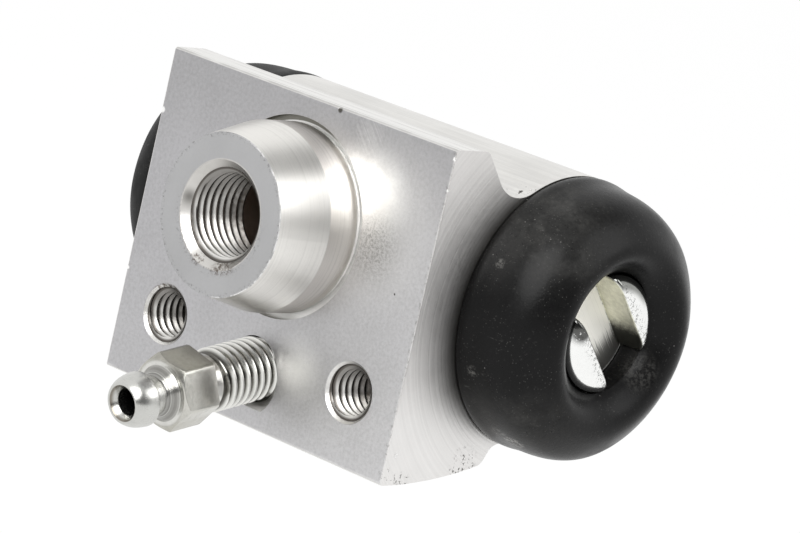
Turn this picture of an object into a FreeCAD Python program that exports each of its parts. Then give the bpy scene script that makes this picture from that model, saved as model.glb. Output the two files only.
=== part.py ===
"""Two-piston wheel cylinder with a flat mounting face, a threaded inlet boss and a bleed screw.

Millimetres. +X runs along the bore towards the right piston, +Y from the mounting face into
the body, and +Z is up. The origin is where the inlet's axis crosses the mounting face.
"""
import FreeCAD, Part
import math
import os

from FreeCAD import Vector

# Extruded body: a flange with a barrel behind it, cut to one width
BODY_WIDTH = 42.0
TOP_RISE = 2.1
TOP_LAND = 5.1
TOP_FLANK_DEG = 49.0
TOP_CORNER_R = 1.6
TOP_ROOT_R = 4.5
FOOT_DROP = 3.9
FOOT_SHORT = 5.9
FOOT_UNDERSIDE_R = 60.0
FOOT_BACK_DEG = 63.0
FOOT_CORNER_R = 1.5
FOOT_ROOT_R = 1.8
FACE_EDGE_R = 0.35

# Barrel and bore
BORE_Y = 21.2
BORE_Z = -4.0
BORE_R = 9.525
BARREL_R = 15.0
BORE_CHAMFER = 0.8

# Turned spigot that carries a boot at each end
SPIGOT_LENGTH = 3.4
SPIGOT_R = 12.8
SPIGOT_GROOVE_R = 11.9
SPIGOT_GROOVE_WIDTH = 1.8
SPIGOT_CHAMFER = 0.4

# Inlet boss, which also centres the cylinder in the backplate
BOSS_HEIGHT = 10.0
BOSS_FACE_R = 8.65
REGISTER_R = 10.15
REGISTER_HEIGHT = 4.0
REGISTER_SUNK = 0.1
RELIEF_WIDTH = 0.7
RELIEF_DEPTH = 0.7
RELIEF_UNDERCUT = 0.25
INLET_R = 5.0
INLET_MOUTH_R = 5.78
INLET_DEPTH = 13.0
INLET_PASSAGE_R = 1.6
DRILL_POINT_DEG = 118.0

# Two tapped holes in the mounting face
MOUNT_SPACING = 28.0
MOUNT_Z = -15.0
MOUNT_R = 3.0
MOUNT_MOUTH_R = 3.34
MOUNT_DEPTH = 11.0

# Bleed hole and screw, on one tilted axis
BLEED_Z = -16.75
BLEED_TILT_DEG = 11.5
BLEED_R = 3.5
BLEED_MOUTH_R = 3.9
BLEED_DEPTH = 10.3
BLEED_PASSAGE_R = 1.25
THREAD_CLEARANCE = 0.05
SEAT_CLEARANCE = 0.05
BLEED_THREAD_OUT = 6.6
BLEED_THREAD_IN = 8.5
BLEED_SHANK_R = 2.9
BLEED_RELIEF_R = 3.05
BLEED_TIP_R = 1.0
HEX_BACK = 8.45
HEX_LENGTH = 4.75
HEX_FLATS = 7.5
HEX_TURN_DEG = 47.0
HEX_CROWN = 0.7
HEX_BACK_CROWN = 0.2
NIPPLE_NECK_R = 2.1
NIPPLE_BARB_R = 2.95
NIPPLE_TIP_R = 2.2
NIPPLE_BACK = 15.6
NIPPLE_EDGE = 0.3
NIPPLE_BARB = 16.3
NIPPLE_BULGE = 0.18
NIPPLE_END = 18.6
NIPPLE_BORE_R = 1.42
NIPPLE_SINK = 0.75
NIPPLE_MOUTH_R = 1.95
CROSS_HOLE_R = 0.8
CROSS_HOLE_BACK = 1.1
DRILL_PAST_CROSS = 0.4

# Piston, with its nose through the boot and a slot for the brake shoe's web
PISTON_CLEARANCE = 0.04
PISTON_INNER_X = 12.0
PISTON_LENGTH = 10.0
PISTON_CHAMFER = 0.6
NOSE_FACE_X = 30.0
NOSE_R = 6.55
NOSE_EDGE_R = 1.8
NOSE_GROOVE_WIDTH = 2.6
NOSE_GROOVE_R = 5.2
SLOT_WIDTH = 6.0
SLOT_DEPTH = 3.9
SLOT_EDGE_R = 0.35
SLOT_ANGLE_DEG = 133.5
LEFT_OUT = 2.2

# Pressure cup and the expander inside it
CUP_LENGTH = 5.4
CUP_FLOOR = 2.2
CUP_LIP_CLEARANCE = 0.05
CUP_BACK_CLEARANCE = 0.35
CUP_LIP_WALL = 1.3
CUP_HEEL_WALL = 2.0
EXPANDER_WALL = 0.8
EXPANDER_FLOOR = 1.0
EXPANDER_BEND_R = 0.5
EXPANDER_RIM = 2.4
EXPANDER_CLEARANCE = 0.1
EXPANDER_HUB_R = 4.2
EXPANDER_HUB_TAPER = 0.2
EXPANDER_HUB = 2.6
EXPANDER_HOLE_R = 1.8

# Return spring between the two expanders
SPRING_WIRE_R = 0.45
SPRING_MEAN_R = 5.1
SPRING_TURNS = 5.5

# Rubber boot. An outline point is its distance from the body's end, its radius, and the
# angle in degrees from +X at which the wall lies inside it.
BOOT_WALL = 1.7
BOOT_SEAT_GAP = 0.1
BOOT_GRIP_GAP = 0.03
BOOT_EDGE_R = 14.9
BOOT_FOOT = (1.2, 15.2, 270)
BOOT_SIDE = (4.2, 14.9, 265)
BOOT_SHOULDER = (6.9, 13.75, 240)
BOOT_BEND = (9.0, 11.8, 215)
BOOT_CREST = (10.05, 9.7, 180)
BOOT_ROLL = (9.3, 8.05, 135)
BOOT_MOUTH = (7.7, 6.95, 90)
BOOT_NECK = (5.6, 6.95, 90)
BOOT_NECK_WALL = 1.2
BOOT_BEAD_GAP = 0.12
BOOT_BEAD_WALL = 2.4
BOOT_LIP = 0.3

HALF = BODY_WIDTH / 2
FACE_TOP_Z = BORE_Z + BARREL_R + TOP_RISE
FACE_BOTTOM_Z = BORE_Z - BARREL_R - FOOT_DROP
FOOT_DEPTH = BORE_Y - FOOT_SHORT
ORIGIN = Vector(0, 0, 0)
AXIS_X = Vector(1, 0, 0)
AXIS_Y = Vector(0, 1, 0)
BORE_CENTRE = Vector(0, BORE_Y, BORE_Z)
SPIGOT_END_X = HALF + SPIGOT_LENGTH
PISTON_OUTER_X = PISTON_INNER_X + PISTON_LENGTH
CUP_MOUTH_X = PISTON_INNER_X - CUP_LENGTH
CUP_FLOOR_X = PISTON_INNER_X - CUP_FLOOR
SPRING_SEAT_X = CUP_FLOOR_X - EXPANDER_FLOOR


def wire(points):
    """Closed wire through points in order."""
    return Part.makePolygon(points + [points[0]])


def turned(profile):
    """Solid of revolution about the bore axis from (x, radius) pairs."""
    points = [Vector(x, BORE_Y + r, BORE_Z) for x, r in profile]
    return Part.Face(wire(points)).revolve(BORE_CENTRE, AXIS_X, 360)


def turned_local(profile):
    """Solid of revolution about the local Z axis from (z, radius) pairs."""
    points = [Vector(r, 0, z) for z, r in profile]
    return Part.Face(wire(points)).revolve(ORIGIN, Vector(0, 0, 1), 360)


def place_on(shape, point, direction):
    """Moves a shape made along local Z to point, with Z turned into direction."""
    shape.Placement = FreeCAD.Placement(point, FreeCAD.Rotation(Vector(0, 0, 1), direction))
    return shape


def bleed_direction():
    """Unit vector along the bleed axis, out of the mounting face."""
    tilt = math.radians(BLEED_TILT_DEG)
    return Vector(0, -math.cos(tilt), -math.sin(tilt))


def on_bleed_axis(shape):
    """Moves a shape made along local Z onto the bleed axis, with zero at the mounting face."""
    return place_on(shape, Vector(0, 0, BLEED_Z), bleed_direction())


def edge_along_x(shape, y, z):
    """The edge parallel to the bore that passes nearest to (y, z)."""
    def miss(edge):
        centre = edge.BoundBox.Center
        return math.hypot(centre.y - y, centre.z - z)

    straight = [e for e in shape.Edges if e.BoundBox.XLength > 0.99 * BODY_WIDTH]
    return min(straight, key=miss)


def ray_to_barrel(y, z, degrees):
    """Where a ray from (y, z) at that angle first meets the barrel, as (y, z)."""
    dy, dz = math.cos(math.radians(degrees)), math.sin(math.radians(degrees))
    oy, oz = y - BORE_Y, z - BORE_Z
    half_b = oy * dy + oz * dz
    reach = -half_b - math.sqrt(half_b ** 2 - (oy ** 2 + oz ** 2 - BARREL_R ** 2))
    return y + reach * dy, z + reach * dz


def foot_rise(y):
    """How far the foot's rounded underside has risen at depth y."""
    return FOOT_UNDERSIDE_R - math.sqrt(FOOT_UNDERSIDE_R ** 2 - y ** 2)


def extruded_body():
    """The flange, its foot and the barrel as one extrusion, with rounded corners."""
    x = -HALF
    foot_z = FACE_BOTTOM_Z + foot_rise(FOOT_DEPTH)
    bottom = Vector(x, 0, FACE_BOTTOM_Z)
    middle = Vector(x, FOOT_DEPTH / 2, FACE_BOTTOM_Z + foot_rise(FOOT_DEPTH / 2))
    heel = Vector(x, FOOT_DEPTH, foot_z)
    top_root = ray_to_barrel(TOP_LAND, FACE_TOP_Z, -TOP_FLANK_DEG)
    foot_root = ray_to_barrel(FOOT_DEPTH, foot_z, FOOT_BACK_DEG)
    corners = [heel, Vector(x, *foot_root), Vector(x, BORE_Y, BORE_Z), Vector(x, *top_root),
               Vector(x, TOP_LAND, FACE_TOP_Z), Vector(x, 0, FACE_TOP_Z), bottom]
    outline = Part.Wire([Part.Arc(bottom, middle, heel).toShape()]
                        + [Part.makeLine(a, b) for a, b in zip(corners, corners[1:])])
    flange = Part.Face(outline).extrude(AXIS_X * BODY_WIDTH)
    barrel = Part.makeCylinder(BARREL_R, BODY_WIDTH, Vector(x, BORE_Y, BORE_Z), AXIS_X)
    body = flange.fuse(barrel).removeSplitter()
    rounds = [(TOP_ROOT_R, *top_root), (FOOT_ROOT_R, *foot_root),
              (TOP_CORNER_R, TOP_LAND, FACE_TOP_Z), (FOOT_CORNER_R, FOOT_DEPTH, foot_z),
              (FACE_EDGE_R, 0, FACE_TOP_Z), (FACE_EDGE_R, 0, FACE_BOTTOM_Z)]
    for radius, y, z in rounds:
        body = body.makeFillet(radius, [edge_along_x(body, y, z)])
    return body


def boss():
    """Conical inlet boss on its straight register, undercut where it meets the relief's floor."""
    profile = [(-RELIEF_DEPTH, 0), (-RELIEF_DEPTH, REGISTER_R - RELIEF_UNDERCUT),
               (-REGISTER_SUNK, REGISTER_R), (REGISTER_HEIGHT, REGISTER_R),
               (BOSS_HEIGHT, BOSS_FACE_R), (BOSS_HEIGHT, 0)]
    return place_on(turned_local(profile), ORIGIN, -AXIS_Y)


def boss_relief():
    """Shallow turned recess that the boss stands in."""
    outer = REGISTER_R + RELIEF_WIDTH
    return Part.makeCylinder(outer, 2 * RELIEF_DEPTH, Vector(0, -RELIEF_DEPTH, 0), AXIS_Y)


def drill_point(radius):
    """Depth of the cone that a drill of that radius leaves."""
    return radius / math.tan(math.radians(DRILL_POINT_DEG / 2))


def tapped_hole(radius, mouth_radius, depth):
    """Blind hole going down local -Z from zero, with a chamfered mouth and a drilled end."""
    sink = mouth_radius - radius
    profile = [(sink, 0), (sink, mouth_radius + sink), (-sink, radius), (-depth, radius),
               (-depth - drill_point(radius), 0)]
    return turned_local(profile)


def inlet_hole():
    """Inlet thread from the boss face, then a small passage into the bore."""
    hole = place_on(tapped_hole(INLET_R, INLET_MOUTH_R, INLET_DEPTH),
                    Vector(0, -BOSS_HEIGHT, 0), -AXIS_Y)
    passage = Part.makeCylinder(INLET_PASSAGE_R, BORE_Y, ORIGIN, AXIS_Y)
    return hole.fuse(passage)


def mount_holes():
    """The two tapped mounting holes."""
    holes = []
    for x in (-MOUNT_SPACING / 2, MOUNT_SPACING / 2):
        hole = tapped_hole(MOUNT_R, MOUNT_MOUTH_R, MOUNT_DEPTH)
        holes.append(place_on(hole, Vector(x, 0, MOUNT_Z), -AXIS_Y))
    return holes


def bleed_hole():
    """Tapped hole, cone seat and passage along the tilted bleed axis, down to the bore."""
    mouth = BLEED_MOUTH_R - BLEED_R
    seat_end = BLEED_DEPTH + BLEED_R - BLEED_PASSAGE_R
    reach = BORE_Y / math.cos(math.radians(BLEED_TILT_DEG))
    profile = [(2 * mouth, 0), (2 * mouth, BLEED_R + 3 * mouth), (-mouth, BLEED_R),
               (-BLEED_DEPTH, BLEED_R), (-seat_end, BLEED_PASSAGE_R), (-reach, BLEED_PASSAGE_R),
               (-reach, 0)]
    return on_bleed_axis(turned_local(profile))


def spigots():
    """The turned ends, each with the groove that holds a boot's base bead."""
    groove_x = HALF + SPIGOT_GROOVE_WIDTH
    half = [(0, SPIGOT_GROOVE_R), (groove_x, SPIGOT_GROOVE_R), (groove_x, SPIGOT_R),
            (SPIGOT_END_X - SPIGOT_CHAMFER, SPIGOT_R), (SPIGOT_END_X, SPIGOT_R - SPIGOT_CHAMFER)]
    other = [(-x, r) for x, r in reversed(half[1:])]
    return turned([(-SPIGOT_END_X, 0)] + other + half + [(SPIGOT_END_X, 0)])


def main_bore():
    """The through bore with a lead-in chamfer at each end."""
    flare = BORE_R + BORE_CHAMFER
    lead_x = SPIGOT_END_X - 2 * BORE_CHAMFER
    return turned([(-SPIGOT_END_X, 0), (-SPIGOT_END_X, flare), (-lead_x, BORE_R),
                   (lead_x, BORE_R), (SPIGOT_END_X, flare), (SPIGOT_END_X, 0)])


def housing():
    """The machined housing: extrusion, boss and spigots, less its bore and drillings."""
    solid = extruded_body().cut(boss_relief())
    solid = solid.fuse([boss(), spigots()])
    solid = solid.cut([main_bore(), inlet_hole(), bleed_hole()] + mount_holes())
    return solid.removeSplitter()


def hexagon():
    """Hexagon prism of the bleed screw, with both ends crowned."""
    corner = HEX_FLATS / math.sqrt(3)
    turns = [math.radians(HEX_TURN_DEG + 60 * i) for i in range(6)]
    points = [Vector(corner * math.cos(t), corner * math.sin(t), HEX_BACK) for t in turns]
    prism = Part.Face(wire(points)).extrude(Vector(0, 0, HEX_LENGTH))
    front = HEX_BACK + HEX_LENGTH
    crown = turned_local([(HEX_BACK, 0), (HEX_BACK, corner - HEX_BACK_CROWN),
                          (HEX_BACK + HEX_BACK_CROWN, corner + HEX_BACK_CROWN),
                          (front - 2 * HEX_CROWN, corner + HEX_CROWN),
                          (front, corner - HEX_CROWN), (front, 0)])
    return prism.common(crown)


def bleed_shank():
    """Turned part of the bleed screw, from its sealing cone to the tip of its hose barb."""
    seat_z = BLEED_DEPTH + BLEED_R - BLEED_SHANK_R - SEAT_CLEARANCE * math.sqrt(2)
    thread_r = BLEED_R - THREAD_CLEARANCE
    step = thread_r - BLEED_SHANK_R
    points = [(-seat_z - BLEED_SHANK_R + BLEED_TIP_R, 0),
              (-seat_z - BLEED_SHANK_R + BLEED_TIP_R, BLEED_TIP_R), (-seat_z, BLEED_SHANK_R),
              (-BLEED_THREAD_IN - step, BLEED_SHANK_R), (-BLEED_THREAD_IN, thread_r),
              (BLEED_THREAD_OUT, thread_r),
              (BLEED_THREAD_OUT + thread_r - BLEED_RELIEF_R, BLEED_RELIEF_R),
              (HEX_BACK, BLEED_RELIEF_R), (HEX_BACK + HEX_LENGTH, BLEED_RELIEF_R),
              (HEX_BACK + HEX_LENGTH + BLEED_RELIEF_R - NIPPLE_NECK_R, NIPPLE_NECK_R),
              (NIPPLE_BACK, NIPPLE_NECK_R), (NIPPLE_BACK + NIPPLE_EDGE, NIPPLE_BARB_R)]
    barb = Part.Arc(Vector(NIPPLE_BARB_R, 0, NIPPLE_BARB),
                    Vector((NIPPLE_BARB_R + NIPPLE_TIP_R) / 2 + NIPPLE_BULGE, 0,
                           (NIPPLE_BARB + NIPPLE_END) / 2),
                    Vector(NIPPLE_TIP_R, 0, NIPPLE_END))
    start = [Vector(r, 0, z) for z, r in points] + [Vector(NIPPLE_BARB_R, 0, NIPPLE_BARB)]
    end = [Vector(NIPPLE_TIP_R, 0, NIPPLE_END), Vector(0, 0, NIPPLE_END), start[0]]
    outline = Part.Wire([Part.makePolygon(start), barb.toShape(), Part.makePolygon(end)])
    return Part.Face(outline).revolve(ORIGIN, Vector(0, 0, 1), 360)


def bleed_screw():
    """The bleed screw with its axial drilling and the cross hole behind the sealing cone."""
    cross_z = -BLEED_THREAD_IN - CROSS_HOLE_BACK
    drill_end = cross_z - CROSS_HOLE_R - DRILL_PAST_CROSS
    drilling = turned_local([(drill_end, 0), (drill_end, NIPPLE_BORE_R),
                             (NIPPLE_END - NIPPLE_SINK, NIPPLE_BORE_R),
                             (NIPPLE_END, NIPPLE_MOUTH_R),
                             (NIPPLE_END + NIPPLE_SINK, NIPPLE_MOUTH_R),
                             (NIPPLE_END + NIPPLE_SINK, 0)])
    cross = Part.makeCylinder(CROSS_HOLE_R, 4 * BLEED_R, Vector(-2 * BLEED_R, 0, cross_z), AXIS_X)
    screw = bleed_shank().fuse(hexagon()).cut([drilling, cross])
    return on_bleed_axis(screw.removeSplitter())


def nose_slot():
    """The slot's block, set along the slot's own direction through the bore axis."""
    slot = Part.makeBox(4 * NOSE_R, SLOT_WIDTH, 2 * SLOT_DEPTH,
                        Vector(-2 * NOSE_R, -SLOT_WIDTH / 2, -SLOT_DEPTH))
    turn = math.radians(SLOT_ANGLE_DEG)
    along = Vector(0, math.cos(turn), math.sin(turn))
    slot.Placement = FreeCAD.Placement(Vector(NOSE_FACE_X, BORE_Y, BORE_Z),
                                       FreeCAD.Rotation(along, AXIS_X.cross(along), AXIS_X, "XZY"))
    return slot


def face_edges(shape, curve_type):
    """Edges of that curve type in the plane of the nose's front face."""
    found = []
    for edge in shape.Edges:
        box = edge.BoundBox
        if abs(box.XMin - NOSE_FACE_X) < 0.01 and edge.Curve.TypeId == curve_type:
            found.append(edge)
    return found


def piston():
    """The right piston: body, boot groove and slotted nose with rounded lugs."""
    body_r = BORE_R - PISTON_CLEARANCE
    groove_x = PISTON_OUTER_X + NOSE_GROOVE_WIDTH
    blank = turned([(PISTON_INNER_X, 0), (PISTON_INNER_X, body_r - PISTON_CHAMFER),
                    (PISTON_INNER_X + PISTON_CHAMFER, body_r),
                    (PISTON_OUTER_X - PISTON_CHAMFER, body_r),
                    (PISTON_OUTER_X, body_r - PISTON_CHAMFER), (PISTON_OUTER_X, NOSE_GROOVE_R),
                    (groove_x, NOSE_GROOVE_R), (groove_x, NOSE_R), (NOSE_FACE_X, NOSE_R),
                    (NOSE_FACE_X, 0)])
    blank = blank.makeFillet(NOSE_EDGE_R, face_edges(blank, "Part::GeomCircle"))
    blank = blank.cut(nose_slot())
    return blank.makeFillet(SLOT_EDGE_R, face_edges(blank, "Part::GeomLine"))


def cup_seal():
    """The right pressure cup: a floor against the piston and a lip that opens inwards."""
    lip_r = BORE_R - CUP_LIP_CLEARANCE
    heel_r = BORE_R - CUP_BACK_CLEARANCE
    return turned([(PISTON_INNER_X, 0), (PISTON_INNER_X, heel_r - CUP_BACK_CLEARANCE),
                   (PISTON_INNER_X - CUP_BACK_CLEARANCE, heel_r), (CUP_FLOOR_X, heel_r),
                   (CUP_MOUTH_X, lip_r), (CUP_MOUTH_X, lip_r - CUP_LIP_WALL),
                   (CUP_FLOOR_X, heel_r - CUP_HEEL_WALL), (CUP_FLOOR_X, 0)])


def cup_expander():
    """The right spring seat: a dished disc on the cup's floor with a hub inside the spring."""
    rim_r = BORE_R - CUP_BACK_CLEARANCE - CUP_HEEL_WALL - EXPANDER_CLEARANCE
    rim_x = CUP_FLOOR_X - EXPANDER_RIM
    hub_x = SPRING_SEAT_X - EXPANDER_HUB
    lip_r = rim_r - EXPANDER_WALL
    return turned([(CUP_FLOOR_X, EXPANDER_HOLE_R), (CUP_FLOOR_X, rim_r - EXPANDER_BEND_R),
                   (CUP_FLOOR_X - EXPANDER_BEND_R, rim_r), (rim_x, rim_r), (rim_x, lip_r),
                   (SPRING_SEAT_X, lip_r), (SPRING_SEAT_X, EXPANDER_HUB_R),
                   (hub_x, EXPANDER_HUB_R - EXPANDER_HUB_TAPER), (hub_x, EXPANDER_HOLE_R)])


def return_spring():
    """Open coil between the two expanders, with its end turns ground flat."""
    left_x = -SPRING_SEAT_X - LEFT_OUT
    length = SPRING_SEAT_X - left_x
    pitch = length / SPRING_TURNS
    height = length + 2 * SPRING_WIRE_R
    helix = Part.makeHelix(pitch, height, SPRING_MEAN_R)
    section = Part.Wire(Part.makeCircle(SPRING_WIRE_R, Vector(SPRING_MEAN_R, 0, 0),
                                        Vector(0, SPRING_MEAN_R, pitch / (2 * math.pi))))
    coil = Part.Wire(helix.Edges).makePipeShell([section], True, True)
    coil = place_on(coil, Vector(left_x - SPRING_WIRE_R, BORE_Y, BORE_Z), AXIS_X)
    room = Part.makeCylinder(BORE_R, length, Vector(left_x, BORE_Y, BORE_Z), AXIS_X)
    return coil.common(room)


def smooth(points):
    """Curve edge through (x, radius) points in the bore's section plane."""
    curve = Part.BSplineCurve()
    curve.interpolate([Vector(x, BORE_Y + r, BORE_Z) for x, r in points])
    return curve.toShape()


def straight(points):
    """Straight edges through (x, radius) points in the bore's section plane."""
    return Part.makePolygon([Vector(x, BORE_Y + r, BORE_Z) for x, r in points]).Edges


def boot_point(point, depth, stretch):
    """A boot outline point, pushed into the wall by that depth, as (x, radius)."""
    ahead, radius, inward = point
    angle = math.radians(inward)
    return HALF + ahead * stretch + depth * math.cos(angle), radius + depth * math.sin(angle)


def dust_boot(out):
    """A boot on the right spigot, with its nose end drawn out by that much past the drawing.

    Its base bead sits in the spigot's groove, its wall bulges past the crest and turns back
    into a neck round the piston's nose, and the neck's bead sits in the piston's groove.
    """
    stretch = 1 + out / BOOT_CREST[0]
    base_x = HALF + BOOT_SEAT_GAP
    bead_x = HALF + SPIGOT_GROOVE_WIDTH - BOOT_SEAT_GAP
    wall_r = SPIGOT_R + BOOT_SEAT_GAP
    neck_x = PISTON_OUTER_X + BOOT_BEAD_GAP + out
    bead_end = PISTON_OUTER_X + NOSE_GROOVE_WIDTH - BOOT_BEAD_GAP + out
    bead_r = NOSE_GROOVE_R + BOOT_BEAD_GAP
    bulge = (BOOT_FOOT, BOOT_SIDE, BOOT_SHOULDER, BOOT_BEND, BOOT_CREST, BOOT_ROLL, BOOT_MOUTH)
    lining = (BOOT_CREST, BOOT_BEND, BOOT_SHOULDER, BOOT_SIDE)
    skin = [boot_point(point, 0, stretch) for point in bulge]
    inside = [boot_point(point, BOOT_WALL, stretch) for point in lining]
    neck = boot_point(BOOT_NECK, BOOT_NECK_WALL, stretch)
    mouth_r = skin[-1][1]
    grip_r = SPIGOT_GROOVE_R + BOOT_GRIP_GAP
    outer = smooth([(base_x, BOOT_EDGE_R)] + skin)
    bead = straight([skin[-1], (bead_end, mouth_r), (bead_end, bead_r), (neck_x, bead_r),
                     (neck_x, bead_r + BOOT_BEAD_WALL)])
    inner = smooth([(neck_x, bead_r + BOOT_BEAD_WALL), neck] + inside
                   + [(bead_x + BOOT_LIP, wall_r)])
    base = straight([(bead_x + BOOT_LIP, wall_r), (bead_x, wall_r), (bead_x, grip_r),
                     (base_x, grip_r), (base_x, BOOT_EDGE_R)])
    outline = Part.Wire([outer] + bead + [inner] + base)
    return Part.Face(outline).revolve(BORE_CENTRE, AXIS_X, 360)


def mirrored(shape):
    """The same shape on the left side of the middle plane."""
    return shape.mirror(ORIGIN, AXIS_X)


def to_left(shape):
    """A moving piece of the right side, as it stands on the left."""
    return mirrored(shape).translated(Vector(-LEFT_OUT, 0, 0))


def build():
    """Every node's name and shape."""
    nodes = {"housing": housing(), "bleed_screw": bleed_screw(), "return_spring": return_spring(),
             "dust_boot_right": dust_boot(0), "dust_boot_left": mirrored(dust_boot(LEFT_OUT))}
    for name, make in (("piston", piston), ("cup_seal", cup_seal), ("cup_expander", cup_expander)):
        nodes[name + "_right"] = make()
        nodes[name + "_left"] = to_left(make())
    return nodes


os.makedirs("parts", exist_ok=True)
for node_name, node_shape in build().items():
    if not node_shape.isValid() or len(node_shape.Solids) != 1:
        raise ValueError(node_name + " is not one valid solid")
    node_shape.Solids[0].exportStep("parts/" + node_name + ".step")
    print(node_name, round(node_shape.Volume, 1), "mm3")
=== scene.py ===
"""Two-piston wheel cylinder, dressed for rendering on a plain white ground.

Sizes in the classes are millimetres and become metres where a mesh is made. +X runs along the
bore to the right piston, +Y from the mounting face into the body, and +Z is up.
"""

import logging
import math
from dataclasses import dataclass, field
from enum import Enum
from functools import reduce
from typing import Any, Sequence, Union

import bmesh
import bpy
import numpy as np
from mathutils import Matrix, Vector

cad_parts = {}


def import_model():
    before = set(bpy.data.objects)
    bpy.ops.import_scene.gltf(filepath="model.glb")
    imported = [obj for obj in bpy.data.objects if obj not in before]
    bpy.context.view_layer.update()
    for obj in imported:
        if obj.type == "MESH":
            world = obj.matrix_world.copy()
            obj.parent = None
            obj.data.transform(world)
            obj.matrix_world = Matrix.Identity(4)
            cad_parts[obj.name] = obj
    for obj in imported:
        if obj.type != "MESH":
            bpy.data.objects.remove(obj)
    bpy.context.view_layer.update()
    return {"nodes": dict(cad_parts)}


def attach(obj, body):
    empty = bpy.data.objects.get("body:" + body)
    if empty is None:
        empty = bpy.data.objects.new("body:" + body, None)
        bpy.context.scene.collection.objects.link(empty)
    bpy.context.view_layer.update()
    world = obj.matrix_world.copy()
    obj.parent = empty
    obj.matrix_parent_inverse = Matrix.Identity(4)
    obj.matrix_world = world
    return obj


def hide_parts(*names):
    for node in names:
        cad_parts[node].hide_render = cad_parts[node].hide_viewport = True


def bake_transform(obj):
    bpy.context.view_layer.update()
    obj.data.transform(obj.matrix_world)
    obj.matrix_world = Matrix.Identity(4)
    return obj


LOG = logging.getLogger("wheel_cylinder")
MM = 0.001
TURN = 2 * math.pi

# The solids' own places and radii, which the pieces and finishes follow, in mm and radians
BORE_Y = 21.2
BORE_Z = -4.0
HALF_WIDTH = 21.0
TOP_Z = 13.1
BOSS_Y = -10.0
BOSS_FACE_R = 8.65
REGISTER_Y = -4.0
REGISTER_R = 10.15
RECESS_R = 10.85
PORT_R = 5.0
MOUTH_R = 5.8
MOUNT_X = 14.0
MOUNT_Z = -15.0
MOUNT_MOUTH_R = 3.34
BLEED_Z = -16.75
BLEED_R = 3.5
BLEED_TILT = math.radians(11.5)
THREAD_OUT = 6.6
HEX_BACK = 8.45
HEX_FRONT = 13.2
NIPPLE_END = 18.6
NOSE_X = 30.0
NOSE_R = 6.55
SLOT_FLOOR_X = 26.1
SLOT_HALF = 3.0
SLOT_TURN = math.radians(133.5)
LEFT_OUT = 2.2

# Each scuff's centre and radius in mm, and its share of dust
BOOT_SCUFFS =(((25.5, 14.3, -16.7), 1.5, 0.9), ((24.4, 13.4, -15.6), 1.6, 0.4),
               ((24.0, 5.4, 2.2), 1.0, 0.7), ((25.0, 11.4, 8.4), 1.3, 0.5),
               ((23.4, 7.2, -9.9), 0.9, 0.3), ((29.0, 14.7, 9.9), 1.6, 0.3),
               ((29.5, 27.3, -8.0), 2.6, 0.10), ((23.6, 7.6, 2.0), 0.7, 0.3),
               ((-25.0, 11.8, 8.0), 1.2, 0.22), ((-24.0, 33.5, -9.0), 1.6, 0.25))


class Side(Enum):
    """The two ends of the bore, with the sign of their X and how far their piston is drawn out."""

    RIGHT = ("right", 1, 0.0)
    LEFT = ("left", -1, LEFT_OUT)

    @property
    def label(self) -> str:
        """The side's word in node and body names."""
        return self.value[0]

    @property
    def sign(self) -> int:
        """+1 on the right, -1 on the left."""
        return self.value[1]

    @property
    def out(self) -> float:
        """How much further out the side's piston stands, in mm."""
        return self.value[2]


class Slot(Enum):
    """The record's material slots."""

    HOUSING = "housing_aluminium"
    ZINC = "zinc_steel"
    BOOT = "boot_rubber"
    SEAL = "seal_rubber"
    INNER = "inner_steel"
    SPRING = "spring_steel"


# How far each boot's belly drops, and how far it lies towards +Y, in mm
SLACK = {Side.RIGHT: (0.35, 0.32), Side.LEFT: (-0.1, -0.3)}


# Shader expressions


class Value:
    """A shader socket that takes part in Python expressions."""

    def __init__(self, graph: "Graph", socket: bpy.types.NodeSocket) -> None:
        """Wraps one output socket of the graph."""
        self.graph = graph
        self.socket = socket

    def __add__(self, other: "Number") -> "Value":
        """Sum."""
        return self.graph.math("ADD", self, other)

    __radd__ = __add__

    def __sub__(self, other: "Number") -> "Value":
        """Difference."""
        return self.graph.math("SUBTRACT", self, other)

    def __rsub__(self, other: "Number") -> "Value":
        """Difference from a number."""
        return self.graph.math("SUBTRACT", other, self)

    def __mul__(self, other: "Number") -> "Value":
        """Product."""
        return self.graph.math("MULTIPLY", self, other)

    __rmul__ = __mul__

    def __truediv__(self, other: "Number") -> "Value":
        """Quotient."""
        return self.graph.math("DIVIDE", self, other)

    def size(self) -> "Value":
        """Value without its sign."""
        return self.graph.math("ABSOLUTE", self)

    def power(self, exponent: float) -> "Value":
        """Value raised to a number."""
        return self.graph.math("POWER", self, exponent)

    def over(self, other: "Number") -> "Value":
        """The larger of two."""
        return self.graph.math("MAXIMUM", self, other)

    def under(self, other: "Number") -> "Value":
        """The smaller of two."""
        return self.graph.math("MINIMUM", self, other)

    def step(self, low: float, high: float) -> "Value":
        """Smooth step from 0 at low to 1 at high, or falling where low is the larger."""
        return self.graph.value("ShaderNodeMapRange", {"interpolation_type": "SMOOTHSTEP"},
                                {"Value": self, "From Min": low, "From Max": high})

    def band(self, foot: float, full: float, fade: float, end: float) -> "Value":
        """Smooth band that rises from foot to full and falls from fade to end."""
        return self.step(foot, full) * self.step(end, fade)


Number = Union[float, Value]
Colour = Union[tuple, Value]
Point = tuple[float, float, float]
Place = tuple[Point, float]
Coats = list[tuple[Number, Colour]]


def length(first: Value, second: Value) -> Value:
    """Length of a vector from its two components."""
    return (first * first + second * second).power(0.5)


def rgba(colour: Colour) -> Any:
    """A socket as it is, or a triple with its alpha."""
    return colour if isinstance(colour, Value) else (*colour[:3], 1.0)


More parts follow.
